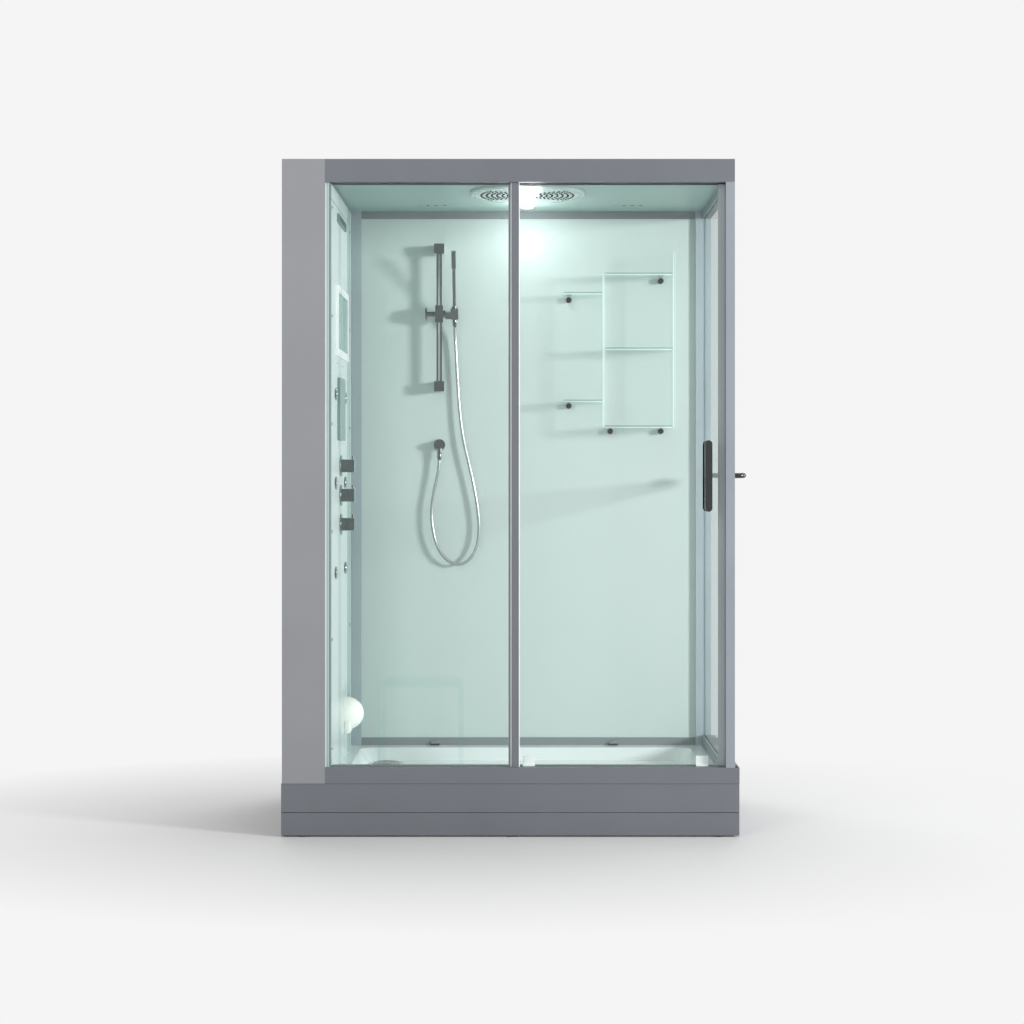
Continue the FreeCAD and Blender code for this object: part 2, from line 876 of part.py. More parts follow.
# ---------------------------------------------------------------- rails, posts and frames

GLASS_SLOT = ("glass_y - groove_play", "glass_y + glass_thickness + groove_play")
BACK_SLOT = ("back_y - groove_play", "back_y + panel_thickness + groove_play")
RIGHT_SLOT = ("right_glass_x - groove_play", "right_glass_x + glass_thickness + groove_play")


def sill_rail():
    """The front sill: a lip over the tray's edge, the fixed pane's groove and the door guides' slot."""
    middle = "door_y + glass_thickness / 2"
    slot = (f"{middle} - guide_slot / 2", f"{middle} + guide_slot / 2")
    corners = [
        ("front_y", "lip_z"),
        ("front_y + lip_depth", "lip_z"),
        ("front_y + lip_depth", "rim_height"),
        ("rail_y", "rim_height"),
        ("rail_y", "sill_z"),
        (slot[1], "sill_z"),
        (slot[1], "sill_z - guide_slot_depth"),
        (slot[0], "sill_z - guide_slot_depth"),
        (slot[0], "sill_z"),
        (GLASS_SLOT[1], "sill_z"),
        (GLASS_SLOT[1], "sill_z - groove_depth"),
        (GLASS_SLOT[0], "sill_z - groove_depth"),
        (GLASS_SLOT[0], "sill_z"),
        ("front_y", "sill_z"),
    ]
    rail = prism("sill_profile", "YZ_Plane", "column_right", "right_x - end_cap", corners)
    cap = box("sill_cap", ("right_x - end_cap", "right_x"), ("front_y", "rail_y"), ("rim_height", "sill_z"))
    lip = box(
        "sill_cap_lip",
        ("right_x - end_cap", "right_x"),
        ("front_y", "front_y + lip_depth"),
        ("lip_z", "rim_height"),
    )
    return fuse("sill_rail", [rail, cap, lip])


def header_rail():
    """The header: fascia, the fixed pane's groove, and the cavity with the ledge and bead the wheels run on."""
    front = "front_y + cavity_front"
    rear = "front_y + cavity_rear"
    top = "header_z + cavity_height"
    ledge_top = "ledge_z + ledge_thickness"
    bead = ("bead_y - bead_width / 2", "bead_y + bead_width / 2")
    corners = [
        ("front_y", "header_z"),
        (GLASS_SLOT[0], "header_z"),
        (GLASS_SLOT[0], "header_z + groove_depth + header_entry"),
        (GLASS_SLOT[1], "header_z + groove_depth + header_entry"),
        (GLASS_SLOT[1], "header_z"),
        (front, "header_z"),
        (front, top),
        (rear, top),
        (rear, ledge_top),
        (bead[1], ledge_top),
        (bead[1], "bead_z"),
        (bead[0], "bead_z"),
        (bead[0], ledge_top),
        (f"{rear} - ledge_depth", ledge_top),
        (f"{rear} - ledge_depth", "ledge_z"),
        (rear, "ledge_z"),
        (rear, "header_z"),
        ("rail_y", "header_z"),
        ("rail_y", "cabin_height"),
        ("front_y", "cabin_height"),
    ]
    rail = prism("header_profile", "YZ_Plane", "column_right", "cabin_right - end_cap", corners)
    cap = box(
        "header_cap", ("cabin_right - end_cap", "cabin_right"), ("front_y", "rail_y"), ("header_z", "cabin_height")
    )
    return fuse("header_rail", [rail, cap])


def fixed_glass_channel():
    corners = [
        ("column_right", "glass_y - channel_lead"),
        ("column_right + channel_width", "glass_y - channel_lead"),
        ("column_right + channel_width", GLASS_SLOT[0]),
        ("column_right + channel_width - groove_depth", GLASS_SLOT[0]),
        ("column_right + channel_width - groove_depth", GLASS_SLOT[1]),
        ("column_right + channel_width", GLASS_SLOT[1]),
        ("column_right + channel_width", "glass_y + glass_thickness + channel_lead"),
        ("column_right", "glass_y + glass_thickness + channel_lead"),
    ]
    return prism("fixed_glass_channel", "XY_Plane", "sill_z", "header_z", corners)


def mullion():
    corners = [
        ("mullion_x", "glass_y - channel_lead"),
        ("mullion_x + mullion_width", "glass_y - channel_lead"),
        ("mullion_x + mullion_width", "glass_y + glass_thickness + mullion_rear"),
        ("mullion_x", "glass_y + glass_thickness + mullion_rear"),
        ("mullion_x", GLASS_SLOT[1]),
        ("mullion_x + groove_depth", GLASS_SLOT[1]),
        ("mullion_x + groove_depth", GLASS_SLOT[0]),
        ("mullion_x", GLASS_SLOT[0]),
    ]
    return prism("mullion", "XY_Plane", "sill_z", "header_z", corners)


def front_right_post():
    end = "front_y + post_depth"
    corners = [
        ("post_x", "front_y"),
        ("cabin_right", "front_y"),
        ("cabin_right", end),
        (RIGHT_SLOT[1], end),
        (RIGHT_SLOT[1], f"{end} - groove_depth"),
        (RIGHT_SLOT[0], f"{end} - groove_depth"),
        (RIGHT_SLOT[0], end),
        ("post_x", end),
    ]
    return prism("front_right_post", "XY_Plane", "sill_z", "header_z", corners)


def rear_posts():
    """The corner posts of the back wall, grooved for the back panel and, on the right, for the right pane."""
    left = [
        ("wall_x", "rear_post_y"),
        ("rear_left_x", "rear_post_y"),
        ("rear_left_x", BACK_SLOT[0]),
        ("rear_left_x - groove_depth", BACK_SLOT[0]),
        ("rear_left_x - groove_depth", BACK_SLOT[1]),
        ("rear_left_x", BACK_SLOT[1]),
        ("rear_left_x", "rear_post_end"),
        ("wall_x", "rear_post_end"),
    ]
    right = [
        ("rear_right_x", "rear_post_y"),
        (RIGHT_SLOT[0], "rear_post_y"),
        (RIGHT_SLOT[0], "rear_post_y + groove_depth"),
        (RIGHT_SLOT[1], "rear_post_y + groove_depth"),
        (RIGHT_SLOT[1], "rear_post_y"),
        ("cabin_right", "rear_post_y"),
        ("cabin_right", "rear_post_end"),
        ("rear_right_x", "rear_post_end"),
        ("rear_right_x", BACK_SLOT[1]),
        ("rear_right_x + groove_depth", BACK_SLOT[1]),
        ("rear_right_x + groove_depth", BACK_SLOT[0]),
        ("rear_right_x", BACK_SLOT[0]),
    ]
    posts = [
        prism("rear_left_post", "XY_Plane", "rim_height", "ceiling_z", left),
        prism("rear_right_post", "XY_Plane", "rim_height", "ceiling_z", right),
    ]
    return group("rear_posts", posts)


def back_rail(name, low, high, opening, bottom):
    """A wall rail along the back: its groove opens at one height and ends at another."""
    rear = "back_rail_y + back_rail_depth"
    far = low if opening == high else high
    corners = [
        ("back_rail_y", far),
        ("back_rail_y", opening),
        (BACK_SLOT[0], opening),
        (BACK_SLOT[0], bottom),
        (BACK_SLOT[1], bottom),
        (BACK_SLOT[1], opening),
        (rear, opening),
        (rear, far),
    ]
    return prism(name, "YZ_Plane", "rear_left_x", "rear_right_x", corners)


def side_rail(name, inner, outer, far, opening, bottom):
    """A rail along the right pane: its groove opens at one height and ends at another."""
    corners = [
        (inner, far),
        (inner, opening),
        (RIGHT_SLOT[0], opening),
        (RIGHT_SLOT[0], bottom),
        (RIGHT_SLOT[1], bottom),
        (RIGHT_SLOT[1], opening),
        (outer, opening),
        (outer, far),
    ]
    return prism(name, "XZ_Plane", "rail_y", "rear_post_y", corners)


def wall_rails():
    """Rails along the back wall, the right side and the left of the ceiling, and the two foot caps."""
    low = "rim_height + back_rail"
    high = "ceiling_z - back_rail"
    inner = "post_x - side_rail_inset"
    top = side_rail("right_top_profile", inner, "cabin_right", "ceiling_z", high, f"{high} + groove_depth")
    fascia = box(
        "right_fascia",
        ("cabin_right - side_fascia", "cabin_right"),
        ("rail_y", "rear_post_end"),
        ("ceiling_z", "cabin_height"),
    )
    low_side = side_rail("right_bottom_profile", inner, "right_x", "rim_height", "sill_z", "sill_z - groove_depth")
    lip = box("right_lip", ("right_x - lip_depth", "right_x"), ("rail_y", "rear_post_y"), ("lip_z", "rim_height"))
    items = [
        back_rail("back_bottom_rail", "rim_height", low, low, f"{low} - groove_depth"),
        back_rail("back_top_rail", high, "ceiling_z", high, f"{high} + groove_depth"),
        fuse("right_top_rail", [top, fascia]),
        fuse("right_bottom_rail", [low_side, lip]),
        box("left_top_rail", ("column_right", "wall_x"), ("rail_y", "rear_post_end"), ("header_z", "ceiling_z")),
    ]
    return group("wall_rails", items + [foot_cap("cap_left"), foot_cap("cap_right")])


def foot_cap(place):
    """A half-round cap on the rim at the foot of the back wall."""
    disc = cylinder(f"{place}_disc", "cap_radius", "cap_depth", (place, "back_rail_y - cap_depth", "rim_height"), "y")
    keep = box(
        f"{place}_keep",
        (f"{place} - cap_radius", f"{place} + cap_radius"),
        ("back_rail_y - cap_depth", "back_rail_y"),
        ("rim_height", "rim_height + cap_radius"),
    )
    return common(f"{place}_cap", disc, keep)


# ---------------------------------------------------------------- panes and panels


def fixed_glass():
    return box(
        "fixed_glass",
        ("column_right + channel_width - groove_depth + groove_floor", "mullion_x + groove_depth - groove_floor"),
        ("glass_y", "glass_y + glass_thickness"),
        ("sill_z - groove_depth + groove_floor", "header_z + groove_depth"),
    )


def right_glass():
    pane = box(
        "right_pane",
        ("right_glass_x", "right_glass_x + glass_thickness"),
        ("front_y + post_depth - groove_depth + groove_floor", "rear_post_y + groove_depth - groove_floor"),
        ("sill_z - groove_depth + groove_floor", "ceiling_z - back_rail + groove_depth - groove_floor"),
    )
    corner = box(
        "right_pane_corner",
        ("right_glass_x", "right_glass_x + glass_thickness"),
        ("front_y", "rail_y + groove_floor"),
        ("header_z - groove_floor", "cabin_height"),
    )
    foot = box(
        "right_pane_foot",
        ("right_glass_x", "right_glass_x + glass_thickness"),
        ("front_y", "rail_y + groove_floor"),
        ("rim_height", "sill_z + groove_floor"),
    )
    holes = []
    for n, y in enumerate(("bar_front_y", "bar_rear_y")):
        spot = ("right_glass_x", y, "bar_z")
        holes.append(cylinder(f"bar_hole_{n}", "bar_bolt + bolt_play", "glass_thickness", spot, "x"))
    return cut("right_glass", pane, [corner, foot] + holes)


def back_panel():
    panel = box(
        "back_sheet",
        ("rear_left_x - groove_depth + groove_floor", "rear_right_x + groove_depth - groove_floor"),
        ("back_y", "back_y + panel_thickness"),
        ("rim_height + back_rail - groove_depth + groove_floor", "ceiling_z - back_rail + groove_depth - groove_floor"),
    )
    spot = ("elbow_x", "back_y", "elbow_z")
    hole = cylinder("back_elbow_hole", "elbow_tail + hole_play", "panel_thickness", spot, "y")
    return cut("back_panel", panel, [hole])


def roof_panel():
    panel = box(
        "roof_sheet",
        ("column_right", "cabin_right - side_fascia - roof_seat"),
        ("rail_y", "rear_post_end"),
        ("ceiling_z", "ceiling_z + roof_thickness"),
    )
    holes = [
        cylinder("roof_rain_hole", "rain_stem + hole_play", "roof_thickness", ("rain_x", "rain_y", "ceiling_z")),
        cylinder("roof_lamp_hole", "lamp_body + hole_play", "roof_thickness", ("rain_x", "lamp_y", "ceiling_z")),
    ]
    for place in ("vent_left", "vent_right"):
        for n in (-1, 0, 1):
            spot = (f"{place} + {n} * vent_pitch", "vent_y", "ceiling_z")
            holes.append(cylinder(f"{place}_hole_{n + 1}", "vent_radius", "roof_thickness", spot))
    return cut("roof_panel", panel, holes)


def column_wall_panel():
    """The column's inner wall, with the holes that its fittings pass through."""
    panel = box(
        "wall_sheet",
        ("wall_back", "wall_x"),
        ("glass_y + glass_thickness + channel_lead", "rear_post_end"),
        ("rim_height", "header_z"),
    )
    notch = box(
        "wall_sill_notch",
        ("wall_back", "wall_x"),
        ("glass_y + glass_thickness + channel_lead", "rail_y"),
        ("rim_height", "sill_z"),
    )
    holes = [notch]
    for n, (y, z) in enumerate(JETS, 1):
        holes.append(wall_hole(f"wall_jet_hole_{n}", "jet_tail + hole_play", y, z))
    for place in KNOBS:
        holes.append(wall_hole(f"wall_{place}_hole", "bonnet_radius + hole_play", "valve_y", place))
    holes.append(wall_hole("wall_steam_hole", "steam_tail + hole_play", "steam_y", "steam_z"))
    return cut("column_wall_panel", panel, holes)


def wall_hole(name, radius, y, z):
    return cylinder(name, radius, "panel_thickness", ("wall_back", y, z), "x")


# ---------------------------------------------------------------- column


def column_front_cover():
    """A folded pan: the grey front face with its four returns."""
    pan = box(
        "cover_pan", ("column_left", "column_right"), ("front_y", "front_y + cover_depth"), ("lip_z", "cabin_height")
    )
    inside = box(
        "cover_inside",
        ("column_left + sheet", "column_right - sheet"),
        ("front_y + sheet", "front_y + cover_depth"),
        ("lip_z + sheet", "cabin_height - sheet"),
    )
    return cut("column_front_cover", pan, [inside])


def column_side_cover():
    """The outer side sheet, folded over at the top of the column."""
    top = "cabin_height - side_sheet"
    corners = [
        ("column_left", "lip_z"),
        ("column_left + side_sheet", "lip_z"),
        ("column_left + side_sheet", top),
        ("column_right", top),
        ("column_right", "cabin_height"),
        ("column_left", "cabin_height"),
    ]
    return prism("column_side_cover", "XZ_Plane", "front_y + cover_depth", "rear_y", corners)


def column_frame():
    """Four square uprights with their cross members: three on the tray's deck and one on the sill."""
    outer = ("column_left + side_sheet", "column_left + side_sheet + upright")
    inner = ("wall_back - upright", "wall_back")
    front = ("front_y + cover_depth", "front_y + cover_depth + upright")
    inner_front = (
        "glass_y + glass_thickness + channel_lead",
        "glass_y + glass_thickness + channel_lead + upright",
    )
    rear = ("rear_post_end - upright", "rear_post_end")
    top = "cabin_height - side_sheet"
    uprights = [
        square_tube("upright_0", outer, front, ("rim_height", top), "z"),
        square_tube("upright_1", outer, rear, ("rim_height", top), "z"),
        square_tube("upright_2", inner, inner_front, ("sill_z", "header_z - upright_top"), "z"),
        square_tube("upright_3", inner, rear, ("rim_height", "header_z - upright_top"), "z"),
    ]
    ties = [
        box("top_tie_0", (outer[1], "column_right"), front, (f"{top} - upright", top)),
        box("top_tie_1", (outer[1], "column_right"), rear, (f"{top} - upright", top)),
        box("side_tie", outer, (front[1], rear[0]), ("knob_middle", "knob_middle + upright")),
        box("rear_tie", (outer[1], inner[0]), rear, ("knob_middle", "knob_middle + upright")),
        box("front_tie", (outer[1], inner[0]), (inner_front[0], front[1]), ("knob_middle", "knob_middle + upright")),
    ]
    return fuse("column_frame", uprights + ties)


def steam_generator():
    """The boiler on its feet and its pipe to the steam outlet."""
    x = ("wall_back - generator_gap - generator_width", "wall_back - generator_gap")
    y = ("front_y + generator_in", "front_y + generator_in + generator_depth")
    z = "rim_height + generator_foot"
    top = "rim_height + generator_height"
    room = box(
        "boiler_room",
        (f"{x[0]} + generator_wall", f"{x[1]} - generator_wall"),
        (f"{y[0]} + generator_wall", f"{y[1]} - generator_wall"),
        (f"{z} + generator_wall", f"{top} - generator_wall"),
    )
    tank = cut("boiler_tank", box("boiler_casing", x, y, (z, top)), [room])
    feet = []
    for n, low in enumerate((y[0], f"{y[1]} - upright")):
        feet.append(box(f"boiler_foot_{n}", x, (low, f"{low} + upright"), ("rim_height", z)))
    centre = f"({x[0]} + {x[1]}) / 2"
    height = "rim_height + generator_height - 2 * upright"
    end = "wall_x - steam_tail_length"
    spots = [
        (centre, y[1], height),
        (centre, "steam_y", height),
        (centre, "steam_y", "steam_z"),
        (end, "steam_y", "steam_z"),
    ]
    return group("steam_generator", [fuse("boiler", [tank] + feet), pipe("steam_pipe", "pipe_radius", spots)])


def control_box():
    x = "column_left + side_sheet"
    return box(
        "control_box",
        (x, f"{x} + box_width"),
        ("box_end - box_depth", "box_end"),
        ("box_z", "box_z + box_height"),
    )


JETS = [(y, z) for y in ("jet_front_y", "jet_rear_y") for z in ("jet_top", "jet_middle", "jet_bottom")]
KNOBS = ("knob_top", "knob_middle", "knob_bottom")


def valve_manifold():
    """Three valve bodies on one upright manifold; each bonnet comes through the wall and guides a spindle."""
    low = "knob_bottom - manifold_reach"
    parts = [
        cylinder("manifold_body", "manifold_radius", f"knob_top + manifold_reach - ({low})", ("manifold_x", "valve_y", low))
    ]
    bores = []
    for place in KNOBS:
        spot = ("manifold_x", "valve_y", place)
        body = "manifold_offset - panel_thickness - valve_gap"
        parts.append(cylinder(f"{place}_body", "valve_radius", body, spot, "x"))
        parts.append(cylinder(f"{place}_bonnet", "bonnet_radius", "manifold_offset + bonnet_reach", spot, "x"))
        start = ("wall_x + bonnet_reach - spindle_length - swivel_gap", "valve_y", place)
        bores.append(
            cylinder(f"{place}_bore", "spindle_radius + spindle_play", "spindle_length + swivel_gap", start, "x")
        )
    return cut("valve_manifold", fuse("manifold_blank", parts), bores)


def water_pipes():
    """Pipes inside the column, over the roof and behind the back panel, with the two inlets at the rear."""
    top = "knob_top + manifold_reach"
    roof = "ceiling_z + rain_stem_rise + 2 * pipe_radius"
    rain = [
        ("manifold_x", "valve_y", top),
        ("manifold_x", "valve_y", roof),
        ("manifold_x", "rain_y", roof),
        ("rain_x", "rain_y", roof),
        ("rain_x", "rain_y", "ceiling_z + rain_stem_rise"),
    ]
    behind = "rear_y - rear_pipe_gap"
    hand = [
        ("manifold_x", "valve_y + valve_radius", "hand_pipe_z"),
        ("manifold_x", "valve_y + 4 * manifold_radius", "hand_pipe_z"),
        ("hand_pipe_x", "valve_y + 4 * manifold_radius", "hand_pipe_z"),
        ("hand_pipe_x", behind, "hand_pipe_z"),
        ("elbow_x", behind, "hand_pipe_z"),
        ("elbow_x", behind, "elbow_z"),
        ("elbow_x", "back_y + elbow_tail_length", "elbow_z"),
    ]
    pipes = [pipe("rain_pipe", "pipe_radius", rain), pipe("hand_pipe", "pipe_radius", hand), jet_pipe()]
    for place in ("hot_z", "cold_z"):
        pipes.append(inlet_pipe(place))
    return group("water_pipes", pipes)


def jet_pipe():
    """Two upright pipes behind the jets, joined under the manifold, with a branch to each jet."""
    feed = [
        ("manifold_x", "jet_front_y", "jet_top + pipe_radius"),
        ("manifold_x", "jet_front_y", "jet_feed_z"),
        ("manifold_x", "jet_rear_y", "jet_feed_z"),
        ("manifold_x", "jet_rear_y", "jet_top + pipe_radius"),
    ]
    items = [pipe("jet_loop", "pipe_radius", feed)]
    low = ("manifold_x", "valve_y", "jet_feed_z")
    items.append(cylinder("jet_feed", "pipe_radius", "knob_bottom - manifold_reach - jet_feed_z", low))
    for n, (y, z) in enumerate(JETS, 1):
        spot = ("manifold_x", y, z)
        items.append(cylinder(f"jet_branch_{n}", "branch_radius", "manifold_offset - jet_tail_length", spot, "x"))
    for n, y in enumerate(("jet_front_y", "jet_rear_y")):
        drop = ("manifold_x", y, "jet_bottom - pipe_radius")
        items.append(cylinder(f"jet_drop_{n}", "pipe_radius", "jet_feed_z - jet_bottom + pipe_radius", drop))
    return fuse("jet_pipe", items)


def inlet_pipe(place):
    start = [
        ("manifold_x - manifold_radius", "valve_y", place),
        ("inlet_x", "valve_y", place),
        ("inlet_x", "rear_y - inlet_length", place),
    ]
    thread = cylinder(
        f"{place}_thread", "inlet_radius", "inlet_length", ("inlet_x", "rear_y - inlet_length", place), "y"
    )
    return fuse(f"{place}_inlet", [pipe(f"{place}_pipe", "pipe_radius", start), thread])


# ---------------------------------------------------------------- column wall fittings


def speaker_grille():
    """A slotted grille on the wall and the speaker's box behind it."""
    y = ("front_y + grille_in", "front_y + grille_in + grille_width")
    face = box("grille_face", ("wall_x", "wall_x + grille_depth"), y, ("grille_z", "grille_z + grille_height"))
    slots = []
    pitch = "grille_height / (slat_count + 1)"
    for n in range(1, int(SIZES["slat_count"]) + 1):
        middle = f"grille_z + {n} * {pitch}"
        slots.append(
            box(
                f"grille_slot_{n}",
                ("wall_x + grille_depth / 2", "wall_x + grille_depth"),
                (f"{y[0]} + slat_gap", f"{y[1]} - slat_gap"),
                (f"{middle} - slat_gap / 2", f"{middle} + slat_gap / 2"),
            )
        )
    centre = ("grille_width / 2 + front_y + grille_in", "grille_z + grille_height / 2")
    speaker = box(
        "speaker_box",
        ("wall_back - speaker_depth", "wall_back"),
        (f"{centre[0]} - speaker_width / 2", f"{centre[0]} + speaker_width / 2"),
        (f"{centre[1]} - speaker_height / 2", f"{centre[1]} + speaker_height / 2"),
    )
    return group("speaker_grille", [cut("grille", face, slots), speaker])


def wall_plate(name, y, z, depth, corner):
    """A plate on the column wall with round corners."""
    corners = [(y[0], z[0]), (y[1], z[0]), (y[1], z[1]), (y[0], z[1])]
    body = prism(name, "YZ_Plane", "wall_x", f"wall_x + {depth}", corners)
    return soften(body, corner, along("x"))


def display():
    """A white frame with a recessed screen in it."""
    y = ("front_y + display_in", "front_y + display_in + display_width")
    z = ("display_z", "display_z + display_height")
    frame = wall_plate("display_plate", y, z, "display_depth", "display_corner")
    inner_y = (f"{y[0]} + screen_inset", f"{y[1]} - screen_side - screen_recess")
    inner_z = (f"{z[0]} + screen_inset", f"{z[1]} - screen_inset + screen_recess")
    window = box("display_window", ("wall_x + screen_recess", "wall_x + display_depth"), inner_y, inner_z)
    front = "wall_x + display_depth - screen_recess"
    screen = box("display_screen", ("wall_x + screen_recess", front), inner_y, inner_z)
    return group("display", [cut("display_frame", frame, [window]), screen])


def control_panel():
    y = ("front_y + control_in", "front_y + control_in + control_width")
    z = ("control_z", "control_z + control_height")
    return wall_plate("control_panel", y, z, "control_depth", "control_corner")


def knob_rosettes():
    profile = [
        ("bonnet_radius + hole_play", "0"),
        ("rosette_radius", "0"),
        ("rosette_radius", "rosette_thickness - rosette_bevel"),
        ("rosette_radius - rosette_bevel", "rosette_thickness"),
        ("bonnet_radius + hole_play", "rosette_thickness"),
    ]
    return group(
        "knob_rosettes", [turned(f"rosette_{place}", profile, ("wall_x", "valve_y", place), "x") for place in KNOBS]
    )


def square_knob(name, place):
    """A square knob with a hollowed face and a short lever; its spindle runs in the valve's bonnet."""
    back = "wall_x + rosette_thickness + knob_clearance"
    front = f"{back} + knob_side"
    half = "knob_side / 2"
    y = (f"valve_y - {half}", f"valve_y + {half}")
    z = (f"{place} - {half}", f"{place} + {half}")
    block = prism(f"{name}_block", "YZ_Plane", back, front, [(y[0], z[0]), (y[1], z[0]), (y[1], z[1]), (y[0], z[1])])
    soften(block, "knob_edge", along("x"))
    spindle = cylinder(
        f"{name}_spindle",
        "spindle_radius",
        "knob_side / 2 + spindle_length",
        ("wall_x + bonnet_reach - spindle_length", "valve_y", place),
        "x",
    )
    socket = cylinder(f"{name}_socket", "bonnet_radius + knob_clearance", "bonnet_hollow", (back, "valve_y", place), "x")
    lever = cylinder(
        f"{name}_lever",
        "lever_radius",
        f"lever_height + {half}",
        (f"{front} - lever_inset", "valve_y", place),
    )
    hollow = pyramid(f"{name}_hollow", front, "valve_y", place)
    body = cut(f"{name}_body", block, [socket, hollow])
    return fuse(name, [body, spindle, lever])


def pyramid(name, front, y, z):
    """The four-sided hollow in a knob's face, cut in from the front."""
    item = doc.addObject("Part::Wedge", name)
    wide = "(knob_side / 2 - knob_rim)"
    for path, text in (
        ("Xmin", f"-{wide}"),
        ("Xmax", wide),
        ("Zmin", f"-{wide}"),
        ("Zmax", wide),
        ("Ymin", "0"),
        ("Ymax", "knob_hollow"),
        ("X2min", "-knob_rim"),
        ("X2max", "knob_rim"),
        ("Z2min", "-knob_rim"),
        ("Z2max", "knob_rim"),
    ):
        bind(item, path, text)
    put(item, (front, y, z))
    item.Placement.Rotation = Rotation(Vector(0, 0, 1), 90)
    return item


BALL_STEPS = 5  # chords along the ball's outline
SEAT_STEPS = 4


def jet_rings():
    """Six jet sockets: flange, tail through the wall and the faceted seat that holds the ball."""
    seat = f"(jet_ball + ball_play) / cos(90 / {SEAT_STEPS + 1})"
    profile = [
        ("jet_inlet", "-jet_tail_length"),
        ("jet_tail", "-jet_tail_length"),
        ("jet_tail", "0"),
        ("jet_radius", "0"),
        ("jet_radius", "jet_flange - rosette_bevel"),
        ("jet_radius - rosette_bevel", "jet_flange"),
    ] + arc_corners(seat, f"asin(jet_flange / ({seat}))", f"-acos(jet_inlet / ({seat}))", SEAT_STEPS)
    rings = [turned(f"jet_ring_{n}", profile, ("wall_x", y, z), "x") for n, (y, z) in enumerate(JETS, 1)]
    return group("jet_rings", rings)


def jet_nozzle(number):
    """A ball cut flat in front and behind, bored through."""
    arc = arc_corners("jet_ball", "-asin(ball_back / jet_ball)", "asin(ball_front / jet_ball)", BALL_STEPS)
    profile = [("jet_bore", "-ball_back"), *arc, ("jet_bore", "ball_front")]
    y, z = JETS[number - 1]
    return turned(f"jet_nozzle_{number}", profile, ("wall_x", y, z), "x")


def steam_outlet():
    """The white outlet: a neck on the wall, a round cup in front of it and a tail through the wall."""
    rim = "steam_cup - steam_round"
    cup_corners = [
        ("0", "0"),
        *arc_corners("steam_round", "-90", "0", 3, (rim, "steam_round")),
        *arc_corners("steam_round", "0", "90", 3, (rim, "steam_cup_depth - steam_round")),
        ("0", "steam_cup_depth"),
    ]
    cup = turned("steam_cup_body", cup_corners, ("wall_x + steam_cup_start", "steam_y", "steam_cup_z"), "x")
    spot = ("wall_x", "steam_y", "steam_z")
    neck = cylinder("steam_neck_body", "steam_neck", "steam_cup_start + steam_cup_depth / 2", spot, "x")
    tail_spot = ("wall_x - steam_tail_length", "steam_y", "steam_z")
    tail = cylinder("steam_tail_body", "steam_tail", "steam_tail_length", tail_spot, "x")
    return fuse("steam_outlet", [cup, neck, tail])


# ---------------------------------------------------------------- ceiling


def rain_head():
    """A round head with two fields of soft nozzles and a star of slots between them, on its stem."""
    profile = [
        ("0", "-rain_depth"),
        ("rain_radius - rain_bevel", "-rain_depth"),
        ("rain_radius", "-rain_depth + rain_bevel"),
        ("rain_radius", "0"),
        ("rain_stem", "0"),
        ("rain_stem", "rain_stem_rise"),
        ("0", "rain_stem_rise"),
    ]
    disc = turned("rain_disc", profile, ("rain_x", "rain_y", "ceiling_z"))
    slots = []
    for turn, length in RAIN_SLOTS:
        for side in (90, 270):
            slots.append(rain_slot(f"rain_slot_{len(slots)}", side + turn, length))
    return fuse("rain_head", [cut("rain_face", disc, slots), coded("rain_nozzles", rain_nozzles())])


def rain_slot(name, degrees, length):
    item = doc.addObject("Part::Box", name)
    item.Length = length
    bind(item, "Width", "slot_width")
    bind(item, "Height", "slot_depth")
    turn = Rotation(Vector(0, 0, 1), degrees)
    start = turn.multVec(Vector(SIZES["slot_start"], -SIZES["slot_width"] / 2, 0))
    item.Placement = Placement(Vector(), turn)
    bind(item, ".Placement.Base.x", f"rain_x + {start.x}")
    bind(item, ".Placement.Base.y", f"rain_y + {start.y}")
    bind(item, ".Placement.Base.z", "ceiling_z - rain_depth")
    return item


def rain_nozzles():
    """Six-sided nozzles on arcs round the head's middle, in a sector to the left and one to the right."""
    centre = Vector(at["rain_x"], at["rain_y"], at["ceiling_z"] - at["rain_depth"] - at["nozzle_drop"])
    nozzles = []
    for ring in range(int(at["nozzle_rings"])):
        radius = at["nozzle_first"] + ring * at["nozzle_pitch"]
        span = 2 * math.radians(at["nozzle_sector"]) * (1 - at["sector_taper"] * ring)
        count = round(span * radius / at["nozzle_pitch"]) + 1
        for side in (0, math.pi):
            for n in range(count):
                angle = side - span / 2 + span * n / (count - 1)
                spot = centre + Vector(radius * math.cos(angle), radius * math.sin(angle), 0)
                nozzles.append(hexagon(spot, at["nozzle_radius"], at["nozzle_drop"] + at["nozzle_root"]))
    return Part.makeCompound(nozzles)


def hexagon(spot, radius, height):
    ring = [Vector(radius * math.cos(n * math.pi / 3), radius * math.sin(n * math.pi / 3), 0) + spot for n in range(7)]
    return Part.Face(Part.makePolygon(ring)).extrude(Vector(0, 0, height))


def ceiling_lamp():
    profile = [
        ("0", "-lamp_drop + lamp_edge"),
        ("lamp_body - lamp_edge", "-lamp_drop + lamp_edge"),
        ("lamp_body - lamp_edge", "-lamp_drop"),
        ("lamp_radius - lamp_edge", "-lamp_drop"),
        ("lamp_radius", "-lamp_drop + lamp_edge"),
        ("lamp_radius", "0"),
        ("lamp_body", "0"),
        ("lamp_body", "lamp_rise"),
        ("0", "lamp_rise"),
    ]
    return turned("ceiling_lamp", profile, ("rain_x", "lamp_y", "ceiling_z"))


# ---------------------------------------------------------------- back wall fittings


def riser_bar():
    """The flat bar between its two square brackets."""
    bar = box(
        "riser",
        ("riser_x - riser_width / 2", "riser_x + riser_width / 2"),
        ("riser_y - riser_depth / 2", "riser_y + riser_depth / 2"),
        ("riser_low + bracket_side / 2", "riser_high - bracket_side / 2"),
    )
    return group("riser_bar", [bar] + [bracket(place) for place in ("riser_low", "riser_high")])


